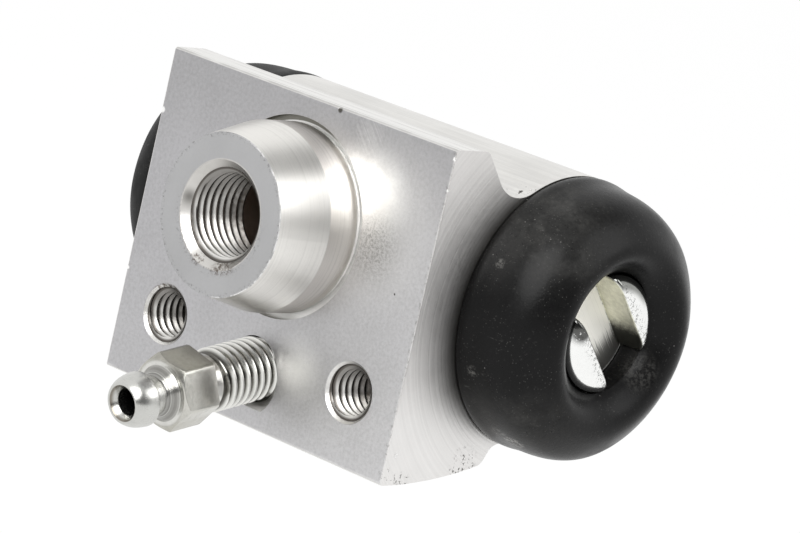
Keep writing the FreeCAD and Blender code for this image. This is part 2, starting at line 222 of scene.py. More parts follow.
class Graph:
    """The node tree of a material or world, built from expressions."""

    def __init__(self, owner: Union[bpy.types.Material, bpy.types.World]) -> None:
        """Empties the owner's tree.

        Args:
            owner: The material or world whose nodes are built.
        """
        owner.use_nodes = True
        self.owner = owner
        self.tree = owner.node_tree
        self.tree.nodes.clear()
        self._place = None

    @classmethod
    def named(cls, name: str) -> "Graph":
        """Graph of a new material with that name."""
        return cls(bpy.data.materials.new(name))

    def node(self, kind: str, settings: dict[str, Any], inputs: dict[Any, Any]) -> bpy.types.Node:
        """Adds a node.

        Args:
            kind: The node's type.
            settings: Properties that are set first, such as a Math node's operation.
            inputs: Values or links by socket name or number.

        Returns:
            The node.
        """
        node = self.tree.nodes.new(kind)
        for key, value in settings.items():
            setattr(node, key, value)
        for key, value in inputs.items():
            if isinstance(value, Value):
                self.tree.links.new(value.socket, node.inputs[key])
            else:
                node.inputs[key].default_value = value
        return node

    def value(self, kind: str, settings: dict[str, Any], inputs: dict[Any, Any],
              output: Union[int, str] = 0) -> Value:
        """Adds a node and gives one of its outputs, by name or number."""
        return Value(self, self.node(kind, settings, inputs).outputs[output])

    def math(self, operation: str, *values: Number) -> Value:
        """Math node over one or two values."""
        return self.value("ShaderNodeMath", {"operation": operation}, dict(enumerate(values)))

    def place(self) -> Value:
        """Position on the object, which is asked for once and kept.

        Returns:
            A vector in mm.
        """
        if self._place is None:
            where = self.value("ShaderNodeTexCoord", {}, {}, "Object")
            self._place = self.value("ShaderNodeVectorMath", {"operation": "SCALE"},
                                     {0: where, "Scale": 1 / MM})
        return self._place

    def xyz(self) -> tuple[Value, Value, Value]:
        """Position on the object as three values in mm."""
        node = self.node("ShaderNodeSeparateXYZ", {}, {0: self.place()})
        return tuple(Value(self, socket) for socket in node.outputs)

    def stretched(self, x: float, y: float, z: float) -> Value:
        """Position in mm, scaled along each axis."""
        return self.value("ShaderNodeVectorMath", {"operation": "MULTIPLY"},
                          {0: self.place(), 1: (x, y, z)})

    def away(self, centre: Point) -> Value:
        """Distance from a point in mm."""
        return self.value("ShaderNodeVectorMath", {"operation": "DISTANCE"},
                          {0: self.place(), 1: centre}, "Value")

    def spot(self, centre: Point, radius: float) -> Value:
        """Soft round mask: 1 inside about half the radius of a point in mm, 0 outside it."""
        return self.away(centre).step(radius, radius * 0.45)

    def spots(self, places: Sequence[Place]) -> Value:
        """Soft round masks at several places, each a centre and a radius, joined."""
        return reduce(Value.over, [self.spot(centre, radius) for centre, radius in places])

    def glow(self, centre: Point, radius: float) -> Value:
        """Round mask that fades evenly from 1 at a point in mm to 0 at the radius."""
        return self.away(centre).step(radius, 0.0)

    def dot(self, vector: Value, side: Point) -> Value:
        """Dot product of a vector and a direction."""
        return self.value("ShaderNodeVectorMath", {"operation": "DOT_PRODUCT"},
                          {0: vector, 1: side}, "Value")

    def noise(self, scale: float, detail: float = 2.0, rough: float = 0.5,
              where: Value | None = None) -> Value:
        """3-D noise from 0 to 1 with about scale cells a millimetre."""
        return self.value("ShaderNodeTexNoise", {},
                          {"Vector": where or self.place(), "Scale": scale, "Detail": detail,
                           "Roughness": rough})

    def patchy(self, scale: float, low: float, high: float, rough: float = 0.8,
               detail: float = 4.0, where: Value | None = None) -> Value:
        """Ragged islands: 1 where a noise is above high and 0 where it is below low."""
        return self.noise(scale, detail, rough, where).step(low, high)

    def rings(self, distance: Value, scale: float, detail: float = 3.0) -> Value:
        """Noise along one distance only, which draws turned rings or drawn lines."""
        return self.value("ShaderNodeTexNoise", {"noise_dimensions": "1D"},
                          {"W": distance, "Scale": scale, "Detail": detail, "Roughness": 0.6})

    def cells(self, scale: float) -> Value:
        """Distance to the nearest of scattered points, with about scale points a millimetre."""
        return self.value("ShaderNodeTexVoronoi", {}, {"Vector": self.place(), "Scale": scale},
                          "Distance")

    def blend(self, share: Number, first: Colour, second: Colour) -> Value:
        """Colour that goes from first to second as share goes from 0 to 1."""
        return self.value("ShaderNodeMix", {"data_type": "RGBA"},
                          {0: share, 6: rgba(first), 7: rgba(second)}, 2)

    def layers(self, colour: Colour, coats: Coats) -> Colour:
        """Lays coats over a colour in turn.

        Args:
            colour: The colour underneath.
            coats: Pairs of a share and the tint that it mixes in.

        Returns:
            The colour on top.
        """
        for share, tint in coats:
            colour = self.blend(share, colour, tint)
        return colour

    def ray(self, name: str) -> Value:
        """A Light Path output: 1 for that kind of ray and 0 for the others."""
        return self.value("ShaderNodeLightPath", {}, {}, name)

    def seen(self) -> Value:
        """1 for the rays that show the white ground: camera, glossy and transmitted ones."""
        return (self.ray("Is Camera Ray") + self.ray("Is Glossy Ray")
                + self.ray("Is Transmission Ray")).under(1.0)

    def surface(self, colour: Colour, rough: Number, height: Value,
                **others: Any) -> bpy.types.Material:
        """Ends the graph in a Principled shader with a bump.

        Args:
            colour: Base colour.
            rough: Roughness.
            height: Bump height in mm.
            **others: Other sockets, with underscores for the spaces in their names.

        Returns:
            The finished material.
        """
        normal = self.value("ShaderNodeBump", {},
                            {"Strength": 1.0, "Distance": MM, "Height": height})
        inputs = {"Base Color": rgba(colour), "Roughness": rough, "Normal": normal}
        inputs.update({key.replace("_", " "): value for key, value in others.items()})
        shader = self.value("ShaderNodeBsdfPrincipled", {}, inputs)
        self.node("ShaderNodeOutputMaterial", {}, {"Surface": shader})
        return self.owner


# Finishes


class HousingZones:
    """Where a point of the housing lies: its distances, the masks of its surfaces and the wear."""

    def __init__(self, g: Graph) -> None:
        """Face at y = 0 outside the recess, ends at the width's limits, boss ahead of the face.

        Args:
            g: The graph in which they are worked out.
        """
        self.x, self.y, self.z = g.xyz()
        self.from_boss = length(self.x, self.z)
        self.from_bore = length(self.y - BORE_Y, self.z - BORE_Z)
        self.face = self.y.step(0.06, 0.02) * self.from_boss.step(RECESS_R - 0.05, RECESS_R + 0.05)
        self.end = self.x.size().step(HALF_WIDTH - 0.1, HALF_WIDTH - 0.02)
        self.boss = self.y.step(-0.02, -0.2)
        self.boss_face = self.y.step(BOSS_Y + 0.05, BOSS_Y + 0.01)
        self.turned_boss = self.boss - self.boss_face
        self.plain = (1 - self.face) * (1 - self.end) * (1 - self.boss)
        self.grain = g.noise(2.6, 4.0, 0.7)
        self.cloud = g.noise(0.16, 3.0)
        self.wear = g.noise(1.6, 4.0, 0.75)


@dataclass(frozen=True)
class HousingFinish:
    """Satin extruded aluminium with a faced flange, turned ends and boss, painted light and shade,
    and painted shade with grime in the port.
    """

    # The faced flange is darker than the drawn aluminium, partly as painted shade for the dim
    # surroundings that it reflects.
    face: tuple = (0.505, 0.50, 0.512)
    drawn: tuple = (0.81, 0.80, 0.775)
    end: tuple = (0.79, 0.775, 0.76)
    cone: tuple = (0.85, 0.835, 0.80)
    boss_face: tuple = (0.50, 0.50, 0.505)
    register: tuple = (0.75, 0.72, 0.68)
    # Bright metal, used mostly for painted highlights and painted light, and for bare nicks.
    bright: tuple = (0.97, 0.965, 0.95)
    # Brown colour of the painted shade with grime deep in the port.
    grime_and_shade: tuple = (0.34, 0.27, 0.22)
    rust: tuple = (0.10, 0.072, 0.052)
    # Dark colour of the painted shade, the grain's tone, the wear and the pits.
    dark: tuple = (0.10, 0.095, 0.085)
    # Painted shade: the dark colour laid in the recess's shaded parts and round the bleed screw.
    recess: tuple = (0.13, 0.125, 0.10)
    chamfer: tuple = (0.64, 0.625, 0.60)
    # Places and radii of the painted highlights on the face.
    highlight_at: Place = ((10.7, 0.0, 5.3), 6.8)
    highlight_low: Place = ((6.2, 0.0, -15.0), 4.8)
    highlight_rim: Place = ((8.0, 0.0, 8.0), 11.0)
    highlight_wide: Place = ((12.0, 0.0, 2.8), 12.0)
    scratched_at: Place = ((8.9, 0.0, 11.2), 4.4)
    scratches_across: tuple = (0.73, 0.684)
    # Painted shade on the cone where its highlight is strongest.
    cone_shade_at: Place = ((8.2, -5.5, 3.0), 6.5)
    smudged_at: Place = ((13.0, 0.0, 0.2), 5.4)
    dirty_at: Place = ((-14.8, 0.0, -12.0), 3.6)
    dark_band_at: Place = ((-5.3, -9.5, 0.5), 1.4)
    dents: tuple = (((4.2, 0.0, 12.8), 0.42), ((20.4, 11.6, 7.7), 0.32),
                    ((19.6, 13.2, 8.7), 0.28), ((17.1, 0.0, -3.4), 0.15))
    worn: tuple = (((21.0, 12.4, -21.0), 2.6), ((21.0, 1.0, -22.3), 1.6),
                   ((19.8, 12.9, 8.6), 2.2), ((21.0, 3.0, -22.9), 1.8))
    deep_nick: Place = ((-20.9, 0.0, 6.1), 0.45)
    nicks: tuple = (((20.9, 0.0, 12.1), 0.3), ((20.95, 0.0, 8.8), 0.2),
                    ((21.0, 1.4, -19.6), 0.35), ((-20.9, 0.0, -11.7), 0.25))
    rusty: tuple = (((1.9, -9.9, -5.3), 2.1), ((-1.9, -9.9, -5.2), 1.1))

    def make(self) -> bpy.types.Material:
        """Lays plain colours first, then painted light and shade, the grain's tone, painted
        highlights, wear, dirt and painted shade in the openings.

        Returns:
            The housing's material.
        """
        g = Graph.named("satin_aluminium")
        at = HousingZones(g)
        face_rings = g.rings(at.from_boss, 2.2)
        end_rings = g.rings(at.from_bore, 2.4)
        boss_rings = g.rings(at.y * 1.5 + at.from_boss, 2.0, 1.0)
        drawn = g.noise(1.0, 4.0, 0.7, g.stretched(0.07, 2.2, 2.2))
        tone = (0.5 * (at.grain - 0.5) * (0.25 + 1.25 * at.face)
                + 0.05 * (face_rings - 0.5) * at.face + 0.30 * (end_rings - 0.5) * at.end
                + 0.35 * (boss_rings - 0.5) * at.turned_boss
                + 0.40 * (drawn - 0.5) * at.plain + 0.25 * (at.cloud - 0.5))
        # Painted highlights on the face, which are also made a little smoother.
        highlights = self._painted_highlights(g, at)
        marks = g.spots(self.dents).over(g.spots(self.worn) * at.wear.step(0.58, 0.64))
        nicks = g.spot(*self.deep_nick).over(g.spots(self.nicks) * at.wear.step(0.4, 0.5))
        pits = self._pits(g, at)
        colour = g.layers(self.drawn, [
            *self._plain_colours(at),
            *self._face_light(g, at),
            (0.08 - 0.07 * at.turned_boss - tone, self.dark),
            *self._end_and_boss_light(g, at),
            (highlights, self.bright),
            *self._face_wear(g, at),
            ((marks + 0.5 * pits).under(1.0), self.dark),
            # Bright nicks, and painted highlights along the edges.
            ((nicks + self._edge_highlights(g, at)).under(1.0), self.bright),
            *self._openings(g, at),
            *self._top(g, at)])
        rough = (0.40 + 0.16 * (at.grain - 0.5) * (1 - at.boss) - 0.04 * at.turned_boss
                 + 0.15 * at.boss_face + 0.02 * at.face - 0.06 * highlights + 0.1 * (at.cloud - 0.5))
        height = (0.02 * at.grain * (0.3 + 0.7 * at.face - 0.26 * at.boss)
                  + 0.004 * face_rings * at.face + 0.014 * end_rings * at.end
                  + 0.010 * boss_rings * at.turned_boss + 0.014 * drawn * at.plain
                  - 0.07 * marks - 0.04 * nicks - 0.02 * pits)
        return g.surface(colour, rough, height, Metallic=1.0)

    def _plain_colours(self, at: HousingZones) -> Coats:
        """Plain colour of each zone, over the drawn one, up to the boss, with painted light on its
        recess's floor and painted shade on that floor above and below the boss.

        Args:
            at: The housing's zones.

        Returns:
            Coats over the drawn colour.
        """
        register = at.boss * at.y.step(REGISTER_Y - 0.05, REGISTER_Y + 0.05)
        chamfer = (at.boss * at.from_boss.step(MOUTH_R + 0.15, MOUTH_R)
                   * at.y.step(BOSS_Y + 0.9, BOSS_Y + 0.7))
        # Painted light on the recess's floor, and painted shade on its left part above and below
        # the boss.
        recess = at.y.band(0.03, 0.1, 0.8, 0.9)
        recess = recess * at.from_boss.band(9.6, 9.8, RECESS_R + 0.05, RECESS_R + 0.1)
        above = at.z.step(4.0, 7.5) * at.from_boss.step(REGISTER_R + 0.07, REGISTER_R + 0.19) * 0.9
        shaded = at.x.step(5.5, 2.5) * above.over(at.z.step(-4.0, -7.5) * 0.5)
        return [(at.face, self.face), (at.end, self.end), (at.boss, self.cone),
                (register, self.register), (at.boss_face, self.boss_face),
                (chamfer, self.chamfer), (recess, self.bright), (recess * shaded, self.recess)]

    def _face_light(self, g: Graph, at: HousingZones) -> Coats:
        """Painted light and shade that change slowly over the face, and slanting scratches above
        the boss with a painted highlight on them.

        Args:
            g: The material's graph.
            at: The housing's zones.

        Returns:
            Coats over the plain colours.
        """
        # Painted light: the face lighter to the right and towards the bottom; painted shade
        # towards the top.
        to_right = at.x.step(-13.0, 21.0) * at.z.step(13.0, -3.0)
        lighter = to_right * 0.19 + at.z.step(-4.0, -22.0) * 0.09
        to_side, up = self.scratches_across
        scratched = g.rings(at.x * to_side + at.z * up, 3.2) * g.glow(*self.scratched_at)
        return [(at.face * lighter, self.bright),
                (at.face * at.z.step(-2.0, 13.0) * 0.14, self.dark),
                (at.face * (scratched - 0.25) * 0.7, self.bright)]

    def _end_and_boss_light(self, g: Graph, at: HousingZones) -> Coats:
        """Painted shade beside the boot, painted shade where the cone's highlight is strongest,
        and painted light on the end's lower part.

        Args:
            g: The material's graph.
            at: The housing's zones.

        Returns:
            Coats over the grain's tone.
        """
        beside_boot = at.end * at.from_bore.step(17.6, 14.6) * at.z.step(-19.0, -12.0)
        cone_shade = g.glow(*self.cone_shade_at) * at.turned_boss
        low_end = at.end * at.z.step(-11.0, -17.0)
        # Painted shade beside the boot and on the cone, and painted light low on the end.
        return [(beside_boot * 0.75, self.dark), (cone_shade * 0.3, self.dark),
                (low_end * 0.3, self.bright)]

    def _painted_highlights(self, g: Graph, at: HousingZones) -> Value:
        """Painted highlights on the face beside the boss: bright patches broken up by the grain.

        Args:
            g: The material's graph.
            at: The housing's zones.

        Returns:
            The share of bright metal.
        """
        patch = g.glow(*self.highlight_at) * (0.35 + 1.5 * g.noise(0.35, 3.0, 0.6))
        low = g.glow(*self.highlight_low) * 0.95
        rim = at.from_boss.step(13.4, RECESS_R + 0.05) * g.glow(*self.highlight_rim) * 0.25
        wide = g.glow(*self.highlight_wide) * 0.36
        return ((patch + low + rim + wide) * (0.75 + 0.5 * at.grain)).under(1.0) * at.face

    def _face_wear(self, g: Graph, at: HousingZones) -> Coats:
        """Smudge beside the boss, small chips along the right edge, dirt by the left hole.

        Args:
            g: The material's graph.
            at: The housing's zones.

        Returns:
            Coats over the burnished face.
        """
        smudge = g.glow(*self.smudged_at) * at.face * g.patchy(3.2, 0.42, 0.62, 0.85)
        right_edge = at.x.step(HALF_WIDTH - 0.5, HALF_WIDTH - 0.15)
        chipped = right_edge * at.face * g.patchy(1.6, 0.50, 0.60)
        from_hole = length(at.x + MOUNT_X, at.z - MOUNT_Z)
        dirt = (g.glow(*self.dirty_at) * g.patchy(2.6, 0.45, 0.56)
                * from_hole.step(MOUNT_MOUTH_R + 0.16, MOUNT_MOUTH_R - 0.04))
        return [(smudge * 0.55, self.dark), (chipped * 0.5, self.dark), (dirt, self.rust)]

    def _edge_highlights(self, g: Graph, at: HousingZones) -> Value:
        """Painted highlights: thin bright lines that come and go along the flange's edges and the
        boss's rim.

        Args:
            g: The material's graph.
            at: The housing's zones.

        Returns:
            The share of bright metal.
        """
        right = at.x.step(HALF_WIDTH - 0.28, HALF_WIDTH - 0.1)
        left = at.x.step(0.15 - HALF_WIDTH, 0.05 - HALF_WIDTH) * 0.35
        foot = at.z.step(-22.45, -22.62)
        flange = right.over(left).over(foot) * at.face * at.cloud.step(0.40, 0.60) * 0.28
        rim = at.from_boss.step(BOSS_FACE_R - 0.19, BOSS_FACE_R - 0.07)
        rim = at.boss_face * rim * at.x.step(-1.0, 4.0)
        return flange.over(rim * g.patchy(0.7, 0.42, 0.56, 0.7) * 0.7)

    def _pits(self, g: Graph, at: HousingZones) -> Value:
        """Small pits in the boss face, along its outer edge and beside the port.

        Args:
            g: The material's graph.
            at: The housing's zones.

        Returns:
            The pits' mask.
        """
        beside_port = at.from_boss.step(6.8, 6.0) * at.z.step(3.0, -2.0)
        rim = at.from_boss.step(BOSS_FACE_R - 0.65, BOSS_FACE_R - 0.2).over(beside_port)
        return at.boss_face * rim * g.patchy(3.0, 0.52, 0.62)

    def _openings(self, g: Graph, at: HousingZones) -> Coats:
        """Painted shade with grime deep in the port, a darker band and rust at its mouth, and
        painted shade in the bleed hole.

        Args:
            g: The material's graph.
            at: The housing's zones.

        Returns:
            Coats over the worn surface.
        """
        # Painted shade with grime deep in the port.
        in_port = at.from_boss.step(PORT_R + 0.2, PORT_R + 0.1) * at.y.step(11.0, 9.0)
        in_port = in_port * at.y.step(-9.0, -1.0)
        # A darker band on the port's chamfer.
        dark_band = g.glow(*self.dark_band_at) * at.turned_boss
        rusty = g.spots(self.rusty) * at.from_boss.step(6.6, 5.9) * g.patchy(2.6, 0.46, 0.58)
        # Painted shade in the bleed hole round the screw.
        across = (at.z - BLEED_Z) * math.cos(BLEED_TILT) - at.y * math.sin(BLEED_TILT)
        in_hole = length(at.x, across).step(BLEED_R + 0.25, BLEED_R + 0.1)
        in_hole = in_hole * at.y.band(0.03, 0.12, 8.0, 9.0)
        return [(in_port * 0.8, self.grime_and_shade), (dark_band * 0.75, self.dark),
                (rusty * 0.85, self.rust), (in_hole * 0.9, self.recess)]

    def _top(self, g: Graph, at: HousingZones) -> Coats:
        """The flange's narrow top, lighter with painted light, and drawn with fine lines.

        Args:
            g: The material's graph.
            at: The housing's zones.

        Returns:
            Coats over the plain zone.
        """
        # Painted light on the top strip; the fine lines are drawn marks.
        strip = at.plain * at.z.step(TOP_Z - 0.2, TOP_Z - 0.1) * at.y.step(5.4, 4.2)
        lines = g.rings(at.y, 1.7, 2.0).step(0.52, 0.62) * strip * at.cloud.step(0.3, 0.55)
        return [(strip * 0.4, self.bright), (lines * 0.35, self.dark)]


@dataclass(frozen=True)
class ThreadFinish:
    """Cut aluminium thread: bright crests, roots and upper side darkened with painted shade, and
    painted shade with grime that grows with depth.
    """

    x: float
    z: float
    crest_r: float
    root_r: float
    shade_starts: float
    shade_full: float
    crest: tuple = (0.80, 0.79, 0.76)
    shade_and_grime: tuple = (0.04, 0.03, 0.022)

    def make(self, name: str) -> bpy.types.Material:
        """Painted shade follows the distance from the hole's axis, the depth along Y and the
        height, and a noise adds grime.

        Args:
            name: The material's name.

        Returns:
            The thread's material.
        """
        g = Graph.named(name)
        x, y, z = g.xyz()
        rise = z - self.z
        from_axis = length(x - self.x, rise)
        # Painted shade in the thread's roots.
        root = from_axis.step(self.crest_r + 0.04, self.root_r - 0.12) * 0.9
        depth = y.step(self.shade_starts, self.shade_full)
        # Painted shade on the hole's upper side.
        upper = rise.step(-0.4 * self.crest_r, 0.5 * self.crest_r) * 0.7
        # Painted shade with grime, growing with depth.
        shade_and_grime = (depth * 0.9 + 0.5 * (g.noise(1.3, 3.0) - 0.45)).over(root).over(upper)
        colour = g.blend(shade_and_grime.under(1.0), self.crest, self.shade_and_grime)
        return g.surface(colour, 0.22 + 0.2 * g.noise(3.0), 0.008 * g.noise(4.0, 3.0),
                         Metallic=1.0)


@dataclass(frozen=True)
class PistonFinish:
    """Bright zinc on turned steel, with a pitted band on the lugs, a brushed slot floor, and
    painted dark reflections and shade.
    """

    zinc: tuple = (0.92, 0.925, 0.91)
    # Dark colour of the pits and grain, and of the painted dark reflection on the nose's edge.
    shade: tuple = (0.16, 0.165, 0.15)
    slot_floor: tuple = (1.0, 0.985, 0.93)
    olive: tuple = (0.86, 0.85, 0.70)
    # Painted shade: the black of the boot's reflection and of the shade in the slot.
    painted_shade_black: tuple = (0.03, 0.03, 0.027)
    olive_dark: tuple = (0.66, 0.65, 0.52)
    # Place of a painted dark reflection on a lug.
    reflection_at: Point = (29.7, -5.4, 0.7)

    def make(self, side: Side) -> bpy.types.Material:
        """Zones lie across and along the slot, and by how far out they are on the nose.

        Args:
            side: The piston's side.

        Returns:
            The piston's material.
        """
        g = Graph.named("bright_zinc_" + side.label)
        x, y, z = g.xyz()
        dy, dz = y - BORE_Y, z - BORE_Z
        across = dz * math.cos(SLOT_TURN) - dy * math.sin(SLOT_TURN)
        along = dy * math.cos(SLOT_TURN) + dz * math.sin(SLOT_TURN)
        off_middle = across.size()
        out = x * side.sign - side.out
        from_axis = length(dy, dz)
        fine = g.noise(2.4, 4.0, 0.7)
        turned = g.rings(from_axis, 4.0)
        brushed = g.rings(across + 0.25 * g.noise(0.9, 2.0), 6.0, 3.0)
        pits = off_middle.step(4.9, SLOT_HALF + 0.3) * out.step(NOSE_X - 0.4, NOSE_X - 0.1)
        pits = g.patchy(2.6, 0.53, 0.62) * pits
        in_slot = off_middle.step(SLOT_HALF + 0.2, SLOT_HALF + 0.05)
        in_slot = in_slot * out.step(NOSE_X - 0.03, NOSE_X - 0.1)
        floor = off_middle.step(SLOT_HALF, SLOT_HALF - 0.2)
        floor = floor * out.step(SLOT_FLOOR_X + 0.4, SLOT_FLOOR_X + 0.1)
        wall = g.blend(g.patchy(1.1, 0.30, 0.66, 0.7), self.olive_dark, self.olive)
        streaked = 2.0 * (fine - 0.5) * (1 - floor) + 5.0 * (brushed - 0.5) * floor
        # Painted shadow in the slot's lower end, where the boot is reflected.
        low = in_slot * (along + streaked + 1.3 * floor).step(-0.9, -3.2)
        # Painted shade along the floor's edges by the walls.
        ragged = off_middle.step(SLOT_HALF - 0.28, SLOT_HALF - 0.1)
        ragged = ragged * floor * g.patchy(1.8, 0.40, 0.55, 0.7, 3.0)
        # Painted dark reflection of the boot on the top of the nose's rounded edge.
        rim_reflection = from_axis.step(4.6, 5.5) * (dz / from_axis).step(0.55, 0.85) * (1 - in_slot)
        burr = in_slot * from_axis.step(NOSE_R - 0.25, NOSE_R - 0.1) * along.step(-1.5, -3.0)
        # Painted dark reflection on the lug, with ragged edges.
        far, behind, above = self.reflection_at
        reflection_at = (side.sign * (far + side.out), BORE_Y + behind, BORE_Z + above)
        shade_painted = g.glow(reflection_at, 2.0) * g.patchy(3.0, 0.28, 0.46, 0.7, 3.0)
        tone = 0.65 * pits + 0.15 * (fine - 0.4) + 0.9 * (brushed - 0.58) * floor
        colour = g.layers(self.zinc, [
            (floor * in_slot, self.slot_floor),
            (tone, self.shade),
            (in_slot * (1 - floor), wall),
            (low * (0.95 - 0.15 * floor), self.painted_shade_black),
            (ragged * 0.8, self.painted_shade_black),
            (rim_reflection * 0.85, self.shade),
            (burr * 0.8, self.zinc),
            ((shade_painted * 1.9).under(0.9), self.painted_shade_black)])
        rough = 0.10 + 0.06 * fine + 0.12 * pits + 0.25 * in_slot
        height = 0.003 * fine - 0.016 * pits + 0.012 * brushed * floor + 0.002 * turned
        metal = 1 - in_slot * (1 - low * (0.35 + 0.45 * floor)) * (0.35 + 0.4 * floor)
        return g.surface(colour, rough, height, Metallic=metal)


@dataclass(frozen=True)
class ScrewFinish:
    """Bright zinc on the bleed screw, duller, warmer and darker with painted shade on its
    hexagon's flats, and painted shade in its thread, neck and bore.
    """

    zinc: tuple = (0.78, 0.775, 0.74)
    # Darker than the zinc: painted shade for what the flats reflect.
    flats: tuple = (0.49, 0.48, 0.43)
    # Dark colour of the painted shade in the thread's roots and neck, also used for the hexagon's
    # mottling.
    root: tuple = (0.075, 0.07, 0.06)
    nipple: tuple = (0.60, 0.60, 0.575)
    mouth: tuple = (0.12, 0.095, 0.06)
    # Black of the painted shade inside the drilling.
    bore: tuple = (0.02, 0.018, 0.015)

    def make(self) -> bpy.types.Material:
        """Zones follow the distance along the screw's axis, outward from the mounting face.

        Returns:
            The screw's material.
        """
        g = Graph.named("zinc_bleed_screw")
        x, y, z = g.xyz()
        lift = z - BLEED_Z
        out = -1 * (y * math.cos(BLEED_TILT) + lift * math.sin(BLEED_TILT))
        side = lift * math.cos(BLEED_TILT) - y * math.sin(BLEED_TILT)
        from_axis = length(x, side)
        fine = g.noise(2.2, 4.0, 0.7)
        hexagon = out.band(HEX_BACK - 0.15, HEX_BACK + 0.05, HEX_FRONT - 0.1, HEX_FRONT + 0.2)
        hexagon = hexagon * from_axis.step(3.3, 3.6)
        thread = out.step(THREAD_OUT + 0.5, THREAD_OUT)
        nipple = out.step(HEX_FRONT - 0.1, HEX_FRONT + 1.0)
        turned = g.rings(out + 0.3 * from_axis, 4.0).step(0.35, 0.60)
        # Painted shade where the hexagon narrows into the neck, broken by turned rings.
        neck_shade = out.band(HEX_FRONT - 0.05, HEX_FRONT + 0.1, HEX_FRONT + 1.0, HEX_FRONT + 1.7)
        neck_shade = neck_shade * (0.25 + 0.45 * turned)
        mouth = out.step(NIPPLE_END - 0.5, NIPPLE_END - 0.1) * from_axis.step(2.0, 1.9)
        bore = from_axis.step(1.6, 1.35) * out.step(NIPPLE_END - 0.2, NIPPLE_END - 3.1)
        colour = g.layers(self.zinc, [
            (nipple, self.nipple),
            (hexagon, self.flats),
            # Painted light on the flats towards +X, and painted shade on the upper ones.
            (hexagon * x.step(2.4, 3.3) * 0.4, self.zinc),
            (hexagon * side.step(2.6, 3.3) * 0.15, self.root),
            # Painted shade in the thread's roots.
            (thread * from_axis.step(3.38, 2.96) * 0.92, self.root),
            (0.45 * (g.noise(0.7, 3.0, 0.6) - 0.45), self.root),
            (neck_shade, self.root),
            (hexagon * 0.8 * (g.noise(1.8, 4.0, 0.75) - 0.47), self.root),
            (mouth * 0.75, self.mouth),
            # Painted shade inside the drilling.
            (bore, self.bore)])
        rough = 0.14 + 0.12 * fine + 0.04 * hexagon + 0.06 * nipple
        height = 0.006 * fine + 0.006 * g.rings(out, 3.0) * (1 - hexagon)
        return g.surface(colour, rough, height, Metallic=1.0)


@dataclass(frozen=True)
class RubberFinish:
    """Matte black rubber with a dull film, dusty where it has scuffs, and a painted sheen greyed
    like dust on the right boot.
    """

    name: str
    base: tuple = (0.0028, 0.0028, 0.0030)
    dust: tuple = (0.26, 0.255, 0.24)
    scuffs: tuple = ()
    # Places and radii of the painted sheen with dust on the right boot.
    sheen_and_dust_places: tuple = (((26.0, 10.0, 10.0), 13.0), ((26.0, 14.0, -17.0), 10.0))

    def make(self) -> bpy.types.Material:
        """A fine film dulls the rubber, and two veils of painted sheen with dust lie on the right
        boot.

        Specks are the middles of scattered cells, thinned out by a slow noise. The left boot is
        duller than the right one.

        Returns:
            The rubber's material.
        """
        g = Graph.named(self.name)
        fine = g.noise(2.4, 4.0, 0.7)
        slow = g.noise(0.30, 3.0)
        specks = g.cells(1.1).step(0.11, 0.05) * slow.step(0.54, 0.66)
        dusty = self._dusty(g, specks, slow) if self.scuffs else 0.0
        film = g.patchy(0.22, 0.46, 0.70, 0.6, 3.0, g.stretched(1.0, 0.8, 1.0))
        sheen_and_dust = reduce(Value.over, [g.glow(*place) for place in self.sheen_and_dust_places])
        colour = g.layers(self.base, [
            (dusty, self.dust),
            # A faint dust tint, and the painted sheen with dust.
            ((0.01 + 0.24 * sheen_and_dust * (0.5 + film)) * fine, self.dust)])
        far_left = g.xyz()[0].step(-18.0, -24.0)
        rough = 0.23 + 0.12 * fine + 0.12 * film + 0.22 * far_left
        return g.surface(colour, rough, 0.02 * fine + 0.015 * specks, Specular_IOR_Level=0.15)

    def _dusty(self, g: Graph, specks: Value, slow: Value) -> Value:
        """Dust in specks, in finer specks, in streaks and in the scuffs.

        Args:
            g: The material's graph.
            specks: The specks' mask.
            slow: The slow noise that thins them out.

        Returns:
            The share of dust.
        """
        small = g.cells(2.8).step(0.20, 0.08) * slow.step(0.40, 0.58)
        streaks = g.patchy(1.6, 0.60, 0.74, 0.75, where=g.stretched(0.35, 1.6, 1.6))
        ragged = g.patchy(2.2, 0.42, 0.60)
        dusty = (specks * 0.42 + small * 0.17).over(streaks * 0.11)
        scuffs = [g.spot(centre, radius) * ragged * share for centre, radius, share in self.scuffs]
        return reduce(Value.over, scuffs, dusty)


@dataclass(frozen=True)
class SteelFinish:
    """Plain steel of the hidden inner pieces, with drawn or turned lines."""

    name: str
    base: tuple
    roughness: float = 0.3

    def make(self) -> bpy.types.Material:
        """Lines run round the bore, and a slow noise gives an oily film.

        Returns:
            The steel's material.
        """
        g = Graph.named(self.name)
        x, y, z = g.xyz()
        lines = g.rings(length(y - BORE_Y, z - BORE_Z) + x, 5.0)
        film = g.noise(0.6, 3.0)
        colour = g.blend(0.35 * film, self.base, tuple(0.45 * part for part in self.base))
        return g.surface(colour, self.roughness + 0.15 * film, 0.004 * lines, Metallic=1.0)


# Surfaces


@dataclass(frozen=True)
class Axis:
    """A straight axis with two directions across it, on which turned surfaces are placed."""

    origin: Point
    along: Point
    first: Point
    second: Point

    def points(self, ahead: np.ndarray, radius: np.ndarray, angle: np.ndarray) -> np.ndarray:
        """Point = origin + ahead * along + radius * (cos(angle) * first + sin(angle) * second).

        Args:
            ahead: Distances along the axis in mm.
            radius: Distances from it in mm.
            angle: Angles round it in radians. The three broadcast together.

        Returns:
            An array of points in mm with a last axis of three.
        """
        ahead, radius, angle = np.broadcast_arrays(ahead, radius, angle)
        round_it = (np.cos(angle)[..., None] * np.array(self.first)
                    + np.sin(angle)[..., None] * np.array(self.second))
        return (np.array(self.origin) + ahead[..., None] * np.array(self.along)
                + radius[..., None] * round_it)


